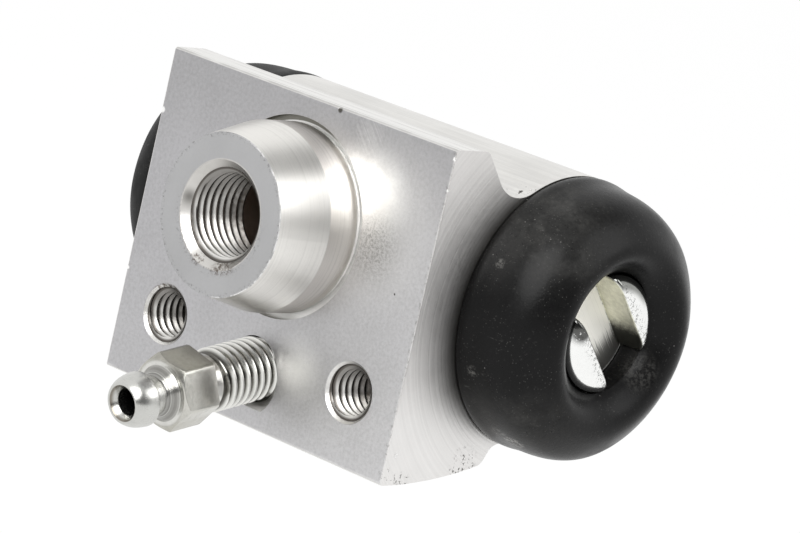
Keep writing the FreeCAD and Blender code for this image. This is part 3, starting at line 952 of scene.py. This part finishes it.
def bore_axis(side: Side) -> Axis:
    """The bore's axis, pointing out of that side."""
    return Axis((0.0, BORE_Y, BORE_Z), (float(side.sign), 0.0, 0.0), (0.0, 1.0, 0.0),
                (0.0, 0.0, 1.0))


def face_axis(x: float, z: float) -> Axis:
    """Axis of a hole that is square to the mounting face, pointing out of it."""
    return Axis((x, 0.0, z), (0.0, -1.0, 0.0), (1.0, 0.0, 0.0), (0.0, 0.0, 1.0))


def bleed_axis() -> Axis:
    """The bleed screw's axis, pointing out of the mounting face."""
    cos, sin = math.cos(BLEED_TILT), math.sin(BLEED_TILT)
    return Axis((0.0, 0.0, BLEED_Z), (0.0, -cos, -sin), (1.0, 0.0, 0.0), (0.0, -sin, cos))


def angles(columns: int) -> np.ndarray:
    """One row of that many angles, equally spaced round a turn."""
    return (np.arange(columns) * TURN / columns)[None, :]


def spline(points: Sequence[tuple[float, float]], steps: int) -> np.ndarray:
    """Natural cubic spline through points, with chord lengths as its parameter.

    The second derivatives m solve h0 m0 + 2 (h0 + h1) m1 + h1 m2 = 6 (slope1 - slope0), with m
    zero at both ends, and each span is the cubic that they give.

    Args:
        points: Points to pass through.
        steps: Samples for each span.

    Returns:
        The sampled points, the last one included.
    """
    knots = np.array(points, float)
    h = np.linalg.norm(np.diff(knots, axis=0), axis=1)
    slope = np.diff(knots, axis=0) / h[:, None]
    count = len(knots)
    inner = np.arange(1, count - 1)
    matrix = np.eye(count)
    matrix[inner, inner] = 2 * (h[:-1] + h[1:])
    matrix[inner, inner - 1] = h[:-1]
    matrix[inner, inner + 1] = h[1:]
    right = np.zeros_like(knots)
    right[inner] = 6 * np.diff(slope, axis=0)
    bend = np.linalg.solve(matrix, right)
    t = (np.arange(steps) / steps)[None, :, None]
    span = h[:, None, None]
    a, b = bend[:-1, None], bend[1:, None]
    p, q = knots[:-1, None], knots[1:, None]
    curve = ((1 - t) * p + t * q
             + span ** 2 / 6 * (((1 - t) ** 3 - (1 - t)) * a + (t ** 3 - t) * b))
    return np.vstack([curve.reshape(-1, 2), knots[-1]])


def eased(points: Sequence[tuple[float, float]], radius: float, steps: int = 4,
          closed: bool = False) -> np.ndarray:
    """Polyline with each corner replaced by a short curve.

    The curve is (1-t)^2 A + 2t(1-t) P + t^2 C, where A and C lie radius away from the corner P
    along its two sides, or two fifths of a side where that is shorter.

    Args:
        points: Corners in order.
        radius: Distance that a curve starts from its corner, in mm.
        steps: Intervals in each curve.
        closed: Whether the last point joins the first.

    Returns:
        The eased points.
    """
    corners = np.array(points, float)
    before = np.roll(corners, 1, axis=0) - corners
    after = np.roll(corners, -1, axis=0) - corners
    reach = [np.minimum(radius, 0.4 * np.linalg.norm(side, axis=1))[:, None]
             / np.maximum(np.linalg.norm(side, axis=1), 1e-9)[:, None]
             for side in (before, after)]
    start = (corners + before * reach[0])[:, None]
    end = (corners + after * reach[1])[:, None]
    t = np.linspace(0, 1, steps + 1)[None, :, None]
    curve = (1 - t) ** 2 * start + 2 * t * (1 - t) * corners[:, None] + t ** 2 * end
    if closed:
        return curve.reshape(-1, 2)
    return np.vstack([corners[:1], curve[1:-1].reshape(-1, 2), corners[-1:]])


def helical(turn: np.ndarray, start: float, end: float, pitch: float, root: float,
            crest: float, hand: int = -1) -> tuple[np.ndarray, np.ndarray]:
    """Rows that follow a screw thread.

    Row i lies at ahead = start + pitch * (i's share of a turn + hand * angle / turn), so a row
    runs along the thread and its radius is the profile's at that share: flat at the crest,
    straight flanks, and a narrow flat root. Rows past either end are held at it, where the
    radius has run out to the root's over three tenths of a pitch, and merge there.

    Args:
        turn: Angles, 1 x columns, the last one a whole turn after the first.
        start: Where the thread starts along the axis, in mm.
        end: Where it ends.
        pitch: Distance between turns.
        root: Radius at the profile's root, which the ends have too.
        crest: Radius at its crest.
        hand: Direction in which the rows climb.

    Returns:
        Distances along the axis and radii, rows x columns.
    """
    shares = np.array([0, 0.1, 0.2, 0.32, 0.44, 0.56, 0.6, 0.64, 0.76, 0.88])
    depth = np.interp(shares, [0, 0.2, 0.56, 0.64, 1.0], [1, 1, 0, 0, 1])
    turns = np.arange(-2, int((end - start) / pitch) + 3)
    phase = (turns[:, None] + shares[None, :]).reshape(-1, 1)
    climbed = hand * (turn - turn[0, 0]) / TURN
    ahead = np.clip(start + pitch * (phase + climbed), start, end)
    fade = np.clip(np.minimum(ahead - start, end - ahead) / (0.3 * pitch), 0, 1)
    radius = root + (crest - root) * np.tile(depth, len(turns))[:, None] * fade
    return ahead, radius


def linked(name: str, data: bpy.types.ID) -> bpy.types.Object:
    """Puts a new object into the scene.

    Args:
        name: The object's name.
        data: Its mesh, camera or light.

    Returns:
        The object, at the origin.
    """
    made = bpy.data.objects.new(name, data)
    bpy.context.scene.collection.objects.link(made)
    return made


def grid_piece(name: str, points: np.ndarray, ring: bool = False,
               sharp: float = 35.0, wrap: bool = True) -> bpy.types.Object:
    """Closed mesh over a grid of points whose columns run once round.

    Args:
        name: The piece's name.
        points: Rows x columns x 3, in mm.
        ring: Whether the last row also joins the first. Otherwise each end row closes to its
            middle unless it is a point already.
        sharp: Edges that bend by more than this many degrees stay sharp.
        wrap: Whether the last column joins the first. Otherwise it lies on it and merges.

    Returns:
        The object, at the origin.
    """
    rows, columns = points.shape[:2]
    here = np.arange(rows * columns).reshape(rows, columns)
    side = np.roll(here, -1, axis=1)
    above, above_side = np.roll(here, -1, axis=0), np.roll(side, -1, axis=0)
    quads = np.stack([here, side, above_side, above], axis=-1)
    quads = quads[:rows if ring else rows - 1, :columns if wrap else columns - 1]
    faces = quads.reshape(-1, 4).tolist()
    if not ring:
        faces += [here[0].tolist(), here[-1].tolist()[::-1]]
    return shaded_piece(name, points.reshape(-1, 3) * MM, faces, sharp)


def shaded_piece(name: str, points: np.ndarray, faces: list, sharp: float) -> bpy.types.Object:
    """Object from points in metres and faces, merged, turned outwards and shaded smooth.

    Args:
        name: The piece's name.
        points: One row of three for each vertex.
        faces: Lists of vertex numbers.
        sharp: Edges that bend by more than this many degrees stay sharp.

    Returns:
        The object, at the origin.
    """
    mesh = bpy.data.meshes.new(name)
    mesh.from_pydata(points.tolist(), [], faces)
    work = bmesh.new()
    work.from_mesh(mesh)
    bmesh.ops.remove_doubles(work, verts=work.verts, dist=1e-7)
    bmesh.ops.dissolve_degenerate(work, edges=work.edges, dist=1e-8)
    bmesh.ops.recalc_face_normals(work, faces=work.faces)
    work.to_mesh(mesh)
    work.free()
    mesh.shade_smooth()
    mesh.set_sharp_from_angle(angle=math.radians(sharp))
    return linked(name, mesh)


def turned_piece(name: str, axis: Axis, profile: np.ndarray, columns: int = 96,
                 ring: bool = True) -> bpy.types.Object:
    """Profile of (ahead, radius) pairs carried round an axis."""
    points = axis.points(profile[:, :1], profile[:, 1:], angles(columns))
    return grid_piece(name, points, ring)


def dress(piece: bpy.types.Object, material: bpy.types.Material) -> bpy.types.Object:
    """Gives a piece its material.

    Args:
        piece: The piece.
        material: Its finish.

    Returns:
        The same piece.
    """
    piece.data.materials.clear()
    piece.data.materials.append(material)
    LOG.info("%s: %d faces", piece.name, len(piece.data.polygons))
    return piece


def redress(node: bpy.types.Object, material: bpy.types.Material) -> None:
    """Puts a material on a CAD node through its object's own slot, and leaves its mesh alone.

    Args:
        node: The CAD node's object.
        material: Its finish.
    """
    for place in node.material_slots:
        place.link = "OBJECT"
        place.material = material
    LOG.info("%s: CAD shape with %s", node.name, material.name)


# Sub-assemblies


@dataclass
class ThreadLiner:
    """Helical thread inside a tapped hole, as a thin closed sleeve against the hole's wall."""

    name: str
    axis: Axis
    start: float
    end: float
    major: float
    minor: float
    pitch: float = 1.0
    thinnest: float = 0.02
    columns: int = 72

    def build(self, material: bpy.types.Material) -> None:
        """Joins the thread to a plain outside that closes the sleeve.

        Args:
            material: The thread's finish.
        """
        turn = np.linspace(0, TURN, self.columns + 1)[None, :]
        ahead, radius = helical(turn, self.start, self.end, self.pitch,
                                self.major - self.thinnest, self.minor)
        outer = np.array([self.end, self.start])[:, None] + 0 * turn
        points = np.concatenate([self.axis.points(ahead, radius, turn),
                                 self.axis.points(outer, self.major + 0 * outer, turn)])
        piece = grid_piece(self.name, points, ring=True, sharp=25, wrap=False)
        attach(dress(piece, material), "housing")


@dataclass
class Housing:
    """The machined housing with the threads of its inlet and mounting holes."""

    finish: HousingFinish = field(default_factory=HousingFinish)
    inlet_major: float = 4.985
    inlet_minor: float = 4.46
    inlet_span: tuple = (1.3, 9.25)
    inlet_shade: tuple = (-8.8, -1.0)
    mount_major: float = 2.985
    mount_minor: float = 2.46
    mount_span: tuple = (-10.8, -0.3)
    mount_shade: tuple = (0.6, 6.5)

    def build(self, nodes: dict[str, bpy.types.Object]) -> None:
        """Dresses the CAD housing and adds the three threads.

        Args:
            nodes: The CAD nodes by name.
        """
        redress(nodes["housing"], self.finish.make())
        # Finish of the inlet's thread, with painted shade and grime.
        shade_painted = ThreadFinish(0.0, 0.0, self.inlet_minor, self.inlet_major, *self.inlet_shade)
        inlet = ThreadLiner("inlet_thread", face_axis(0.0, 0.0), *self.inlet_span,
                            self.inlet_major, self.inlet_minor, columns=96)
        inlet.build(shade_painted.make("inlet_thread_cut"))
        for side in Side:
            x = side.sign * MOUNT_X
            cut = ThreadFinish(x, MOUNT_Z, self.mount_minor, self.mount_major, *self.mount_shade)
            mount = ThreadLiner("mount_thread_" + side.label, face_axis(x, MOUNT_Z),
                                *self.mount_span, self.mount_major, self.mount_minor)
            mount.build(cut.make("mount_thread_cut_" + side.label))


@dataclass
class BleedScrew:
    """Bleed screw turned from one bar: sealing cone, thread, hexagon and hose barb."""

    tip: float = -12.73
    tip_r: float = 1.0
    cone_end: float = -10.83
    shank_r: float = 2.9
    shank_gap: float = 0.3
    thread_in: float = -8.5
    thread_out: float = THREAD_OUT
    thread_r: float = 3.45
    root_r: float = 2.88
    pitch: float = 1.0
    relief_foot: float = 0.15
    relief_full: float = 0.4
    relief_r: float = 3.05
    hex_back: float = HEX_BACK
    hex_front: float = HEX_FRONT
    flats: float = 7.5
    hex_turn: float = math.radians(47)
    crown: float = 0.7
    back_crown: float = 0.2
    neck_start: float = 0.95
    neck_end: float = 15.6
    neck_r: float = 2.1
    barb_edge: tuple = (15.9, 2.95)
    barb: tuple = ((16.3, 2.95), (17.45, 2.78), (18.3, 2.42), (NIPPLE_END, 2.2))
    drilling: tuple = ((NIPPLE_END, 2.2), (NIPPLE_END, 1.95), (17.85, 1.42), (-10.8, 1.42),
                       (-11.2, 0))
    columns: int = 192

    def _angles(self) -> np.ndarray:
        """Angles round the screw from one corner of the hexagon right round to it again."""
        return np.linspace(self.hex_turn, self.hex_turn + TURN, self.columns + 1)[None, :]

    def _hexagon(self) -> tuple[np.ndarray, np.ndarray]:
        """Rows of the hexagon: half the flats over cos(angle from the flat's middle).

        The crowns are cones, so a crown meets the hexagon where it has gone in by about as much
        as the radius there stands past the cone's foot. Insets of a few hundredths of a
        millimetre break the edges.

        Returns:
            Distances along the axis and radii, rows x columns.
        """
        turn = self._angles() - self.hex_turn
        from_middle = np.mod(turn + 1e-9, TURN / 6) - TURN / 12
        corner = self.flats / math.sqrt(3)
        wall = np.minimum(self.flats / 2 / np.cos(from_middle), corner - 0.05)
        foot, back_foot = corner - self.crown, corner - self.back_crown
        front = self.hex_front - np.maximum(wall - foot, 0.06) * 0.85
        back = self.hex_back + np.maximum(wall - back_foot, 0.03)
        zero = np.zeros_like(wall)
        rows = [(zero + self.hex_back, zero + self.relief_r + 0.02),
                (zero + self.hex_back, np.minimum(wall, back_foot) - 0.04),
                (back, wall - 0.012), (back + 0.05, wall), (front - 0.07, wall),
                (front, wall - 0.02),
                (zero + self.hex_front - 0.02, np.minimum(wall, foot)),
                (zero + self.hex_front, np.minimum(wall, foot) - 0.06)]
        ahead, radius = zip(*rows)
        return np.concatenate(ahead), np.concatenate(radius)

    def _turned(self, profile: np.ndarray) -> tuple[np.ndarray, np.ndarray]:
        """Rows of a plain turned stretch."""
        shape = (len(profile), self.columns + 1)
        return np.broadcast_to(profile[:, :1], shape), np.broadcast_to(profile[:, 1:], shape)

    def build(self) -> None:
        """Joins the stretches into one skin from the sealing cone round into the drilling."""
        cone = eased([(self.tip, 0), (self.tip, self.tip_r), (self.cone_end, self.shank_r),
                      (self.thread_in - self.shank_gap, self.shank_r)], 0.12)
        thread = helical(self._angles(), self.thread_in, self.thread_out, self.pitch,
                         self.root_r, self.thread_r, hand=1)
        relief = eased([(self.thread_out + self.relief_foot, self.root_r),
                        (self.thread_out + self.relief_full, self.relief_r),
                        (self.hex_back, self.relief_r)], 0.15)
        neck = eased([(self.hex_front, self.relief_r),
                      (self.hex_front + self.neck_start, self.neck_r),
                      (self.neck_end, self.neck_r), self.barb_edge, self.barb[0]], 0.18)
        parts = [self._turned(cone), thread, self._turned(relief), self._hexagon(),
                 self._turned(neck), self._turned(spline(self.barb, 5)[1:]),
                 self._turned(eased(self.drilling, 0.08)[1:])]
        ahead, radius = zip(*parts)
        points = bleed_axis().points(np.concatenate(ahead), np.concatenate(radius), self._angles())
        piece = grid_piece("bleed_screw_skin", points, ring=False, sharp=25, wrap=False)
        dress(piece, ScrewFinish().make())
        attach(piece, "bleed_screw")
        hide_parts("bleed_screw")


@dataclass
class DustBoot:
    """Rubber boot: a bellied shell on the spigot and a neck turned back round the nose."""

    side: Side
    sag: float
    aside: float
    outline: tuple = ((0.4, 15.0), (2.0, 14.9), (4.3, 14.66), (6.9, 13.86), (8.8, 12.05),
                      (9.9, 9.5), (9.15, 8.0), (7.7, 6.68))
    lining: tuple = ((7.7, 8.6), (8.35, 9.7), (7.62, 10.85), (6.05, 12.28), (4.05, 13.2))
    crest: float = 9.9
    gap: float = 0.1
    edge_r: float = 14.9
    grip_r: float = 11.93
    bead: float = 1.7
    bead_slope: float = 0.3
    wall_r: float = 12.9
    neck_r: float = 8.15
    neck_end: float = 5.6
    bead_back: float = 1.12
    bead_front: float = 3.48
    bead_r: float = 5.32
    bead_top_r: float = 7.7
    waves: tuple = ((0.045, 3, 0.7, 0.0), (0.03, 5, 2.1, 0.2), (0.02, 8, 0.0, -0.6))
    slack_from: float = 1.0
    slack_over: float = 6.0
    mouth_r: float = 7.2
    mouth_over: float = 3.0
    still_to: float = 22.8
    moved_from: float = 28.4
    columns: int = 168

    def _ahead(self, points: Sequence[tuple[float, float]]) -> list[tuple[float, float]]:
        """Outline points as distances from the middle, stretched where the boot is drawn out."""
        stretch = 1 + self.side.out / self.crest
        return [(HALF_WIDTH + ahead * stretch, radius) for ahead, radius in points]

    def _uneven(self, profile: np.ndarray) -> np.ndarray:
        """Grid with the slight slackness of soft rubber.

        The radius gets a few hundredths of a millimetre of slow waves round the boot: each is
        height * sin(count * angle + phase + twist * ahead). They grow from nothing at the base
        and the mouth. The belly drops by the sag and lies aside in +Y.

        Args:
            profile: Closed (ahead, radius) outline.

        Returns:
            Rows x columns x 3 points in mm.
        """
        turn = angles(self.columns)
        ahead, radius = profile[:, :1], profile[:, 1:]
        slack = (np.clip((ahead - HALF_WIDTH - self.slack_from) / self.slack_over, 0, 1)
                 * np.clip((radius - self.mouth_r) / self.mouth_over, 0, 1))
        waves = sum(height * np.sin(count * turn + phase + twist * ahead)
                    for height, count, phase, twist in self.waves)
        points = bore_axis(self.side).points(ahead, radius + slack * waves, turn)
        points[..., 1] += self.aside * slack
        points[..., 2] -= self.sag * slack
        return points

    def build(self, material: bpy.types.Material) -> None:
        """Makes the shell and the neck, which rides on the piston.

        Args:
            material: The boots' finish.
        """
        node = "dust_boot_" + self.side.label
        sign, out = self.side.sign, self.side.out
        base_x, bead_x = HALF_WIDTH + self.gap, HALF_WIDTH + self.bead
        outer = spline([(base_x, self.edge_r)] + self._ahead(self.outline), 9)
        inner = spline(self._ahead(self.lining), 5)
        base = eased([inner[-1], (bead_x + self.bead_slope, self.wall_r), (bead_x, self.wall_r),
                      (bead_x, self.grip_r), (base_x, self.grip_r), (base_x, self.edge_r)],
                     0.1)[1:-1]
        profile = np.vstack([outer, inner, base])
        shell = grid_piece(node + "_shell", self._uneven(profile), ring=True, sharp=50)
        dress(shell, material)
        "piston_" + self.side.label
        sign * self.still_to * MM
        sign * (self.moved_from + out) * MM
        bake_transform(shell)
        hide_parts(node)

        mouth, lip = outer[-1], inner[0]
        start = HALF_WIDTH + out
        front, back = start + self.bead_front, start + self.bead_back
        neck = eased([mouth, (front, mouth[1]), (front, self.bead_r), (back, self.bead_r),
                      (back, self.bead_top_r), (start + self.neck_end, self.neck_r), lip], 0.2)
        piece = turned_piece(node + "_neck", bore_axis(self.side), neck, self.columns)
        dress(piece, material)
        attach(piece, "piston_" + self.side.label)
        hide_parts(node)


@dataclass
class Piston:
    """A piston with its rubber cup and the pressed steel expander inside the cup."""

    side: Side
    cup: tuple = ((12.0, 0.0), (12.0, 8.825), (11.65, 9.175), (9.8, 9.175), (6.6, 9.475),
                  (6.6, 8.175), (9.8, 7.175), (9.8, 0.0))
    expander: tuple = ((9.8, 1.8), (9.8, 6.575), (9.3, 7.075), (7.4, 7.075), (7.4, 6.275),
                       (8.8, 6.275), (8.8, 4.2), (6.2, 4.0), (6.2, 1.8))

    def _shifted(self, outline: tuple) -> list[tuple[float, float]]:
        """An outline drawn out with this side's piston."""
        return [(ahead + self.side.out, radius) for ahead, radius in outline]

    def build(self, nodes: dict[str, bpy.types.Object], rubber: bpy.types.Material,
              steel: bpy.types.Material) -> None:
        """Dresses the CAD piston and makes the cup and the expander as turned skins.

        Args:
            nodes: The CAD nodes by name.
            rubber: The cup's finish.
            steel: The expander's finish.
        """
        label = self.side.label
        body = "piston_" + label
        redress(nodes[body], PistonFinish().make(self.side))
        axis = bore_axis(self.side)
        cup = turned_piece("cup_seal_skin_" + label, axis,
                           eased(self._shifted(self.cup), radius=0.3, steps=5), ring=False)
        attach(dress(cup, rubber), body)
        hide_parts("cup_seal_" + label)
        expander = turned_piece("cup_expander_skin_" + label, axis,
                                eased(self._shifted(self.expander), radius=0.2, closed=True))
        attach(dress(expander, steel), body)
        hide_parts("cup_expander_" + label)


@dataclass
class ReturnSpring:
    """Open coil between the expanders, in two halves."""

    mean_r: float = 5.1
    wire_r: float = 0.45
    turns: float = 5.5
    left_seat: float = -11.0
    right_seat: float = 8.8
    section: int = 14
    rows: int = 190

    def _coil(self, name: str, first: float, last: float) -> bpy.types.Object:
        """Tube of round wire along the helix between two shares of its length.

        A point is the helix point plus wire_r times the cosine and sine of its section angle
        along the radial and axial directions.

        Args:
            name: The piece's name.
            first: Share of the coil's length where the tube starts.
            last: Share where it ends.

        Returns:
            The tube.
        """
        low, high = self.left_seat + self.wire_r, self.right_seat - self.wire_r
        share = np.linspace(first, last, self.rows)[:, None]
        around = angles(self.section)
        radius = self.mean_r + self.wire_r * np.cos(around)
        ahead = low + (high - low) * share + self.wire_r * np.sin(around)
        points = bore_axis(Side.RIGHT).points(ahead, radius, share * self.turns * TURN)
        return grid_piece(name, points, ring=False)

    def build(self, material: bpy.types.Material) -> None:
        """Makes both halves.

        Args:
            material: The wire's finish.
        """
        halves = ((Side.LEFT, 0.0, 0.5, self.left_seat), (Side.RIGHT, 0.5, 1.0, self.right_seat))
        for side, first, last, seat in halves:
            half = dress(self._coil("return_spring_" + side.label, first, last), material)
            "piston_" + side.label
            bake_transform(half)
            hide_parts("return_spring")


# Studio


@dataclass
class Studio:
    """White ground, soft lamps and the camera at the photograph's angle.

    A dim part of the studio has its direction, the cosines to it at which it begins and is
    full, and how much it takes from the white.
    """

    floor_z: float = -63.0
    floor_half: float = 4000.0
    floor_tone: float = 0.85
    floor_glow: float = 1.04
    floor_share: float = 0.92
    camera_at: Point = (305.9, -338.5, 80.2)
    camera_right: Point = (0.7152, 0.6631, 0.2209)
    camera_up: Point = (-0.2835, -0.0136, 0.9589)
    camera_ahead: Point = (-0.6388, 0.7484, -0.1783)
    lens: float = 197.7
    sensor: float = 36.0
    lamps: tuple = (("lamp_above", (187, -306, 270), 420, 2.0),
                    ("lamp_right", (324, 162, 270), 300, 0.4))
    lamp_aim: Point = (0.0, 10.0, -4.0)
    world_level: float = 0.55
    dim_side: tuple = ((0.75, -0.66, 0.05), 0.22, 0.80, 0.9)
    dim_ceiling: tuple = ((0.25, 0.30, 0.92), 0.86, 0.97, 0.7)

    def camera(self) -> None:
        """A long lens with no shift and no depth of field."""
        data = bpy.data.cameras.new("camera")
        data.lens = self.lens
        data.sensor_width = self.sensor
        data.clip_start = 0.01
        data.clip_end = 50.0
        turn = Matrix((self.camera_right, self.camera_up,
                       tuple(-part for part in self.camera_ahead))).transposed()
        camera = linked("camera", data)
        camera.matrix_world = Matrix.Translation(Vector(self.camera_at) * MM) @ turn.to_4x4()
        bpy.context.scene.camera = camera

    def lamp(self, name: str, at: Point, size: float, power: float) -> None:
        """Round soft lamp aimed at the housing's middle.

        Args:
            name: The lamp's name.
            at: Its place in mm.
            size: Its diameter in mm.
            power: Its power in watts.
        """
        data = bpy.data.lights.new(name, "AREA")
        data.shape = "DISK"
        data.size = size * MM
        data.energy = power
        place = Vector(at) * MM
        back = place - Vector(self.lamp_aim) * MM
        linked(name, data).matrix_world = (Matrix.Translation(place)
                                           @ back.to_track_quat("Z", "Y").to_matrix().to_4x4())

    def floor(self) -> None:
        """A pale floor that shows white to the camera except where the object shades it."""
        half = self.floor_half
        corners = np.array([(-half, -half, self.floor_z), (half, -half, self.floor_z),
                            (half, half, self.floor_z), (-half, half, self.floor_z)]) * MM
        mesh = bpy.data.meshes.new("floor")
        mesh.from_pydata(corners.tolist(), [], [[0, 1, 2, 3]])
        g = Graph.named("pale_floor")
        pale = g.value("ShaderNodeBsdfDiffuse", {}, {"Color": rgba((self.floor_tone,) * 3)})
        glow = g.value("ShaderNodeEmission", {},
                       {"Color": (1, 1, 1, 1), "Strength": self.floor_glow})
        mixed = g.value("ShaderNodeMixShader", {},
                        {0: g.seen() * self.floor_share, 1: pale, 2: glow})
        g.node("ShaderNodeOutputMaterial", {}, {"Surface": mixed})
        mesh.materials.append(g.owner)
        linked("floor", mesh)

    def world(self) -> None:
        """White to the camera, an even soft level for the rest, and a white ground in reflections.

        One side of the studio and its ceiling are dim, so reflections darken towards them.
        """
        world = bpy.data.worlds.new("white_ground")
        bpy.context.scene.world = world
        g = Graph(world)
        where = g.value("ShaderNodeTexCoord", {}, {}, "Generated")
        side, ceiling = [g.dot(where, direction).step(begins, full) * depth
                         for direction, begins, full, depth in (self.dim_side, self.dim_ceiling)]
        room = side.over(ceiling) * g.ray("Is Glossy Ray")
        level = self.world_level + (1 - self.world_level) * g.seen() - room
        sky = g.value("ShaderNodeBackground", {}, {"Color": (1, 1, 1, 1), "Strength": level})
        g.node("ShaderNodeOutputWorld", {}, {"Surface": sky})

    def build(self) -> None:
        """Sets the plain view transform, and builds the ground, the lamps and the camera."""
        bpy.context.scene.view_settings.view_transform = "Standard"
        self.world()
        self.floor()
        for lamp in self.lamps:
            self.lamp(*lamp)
        self.camera()


def main() -> None:
    """Builds the sub-assemblies in order."""
    logging.basicConfig(level=logging.INFO, format="%(name)s: %(message)s")
    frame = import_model()
    nodes = frame["nodes"]
    Studio().build()
    Housing().build(nodes)
    BleedScrew().build()
    boot = RubberFinish("boot_rubber_matte", scuffs=BOOT_SCUFFS).make()
    seal = RubberFinish("seal_rubber_matte").make()
    steel = SteelFinish("pressed_steel", (0.45, 0.45, 0.44)).make()
    for side in Side:
        Piston(side).build(nodes, seal, steel)
        DustBoot(side, *SLACK[side]).build(boot)
    ReturnSpring().build(SteelFinish("spring_wire", (0.32, 0.32, 0.31), 0.25).make())


if __name__ == "__main__":
    main()
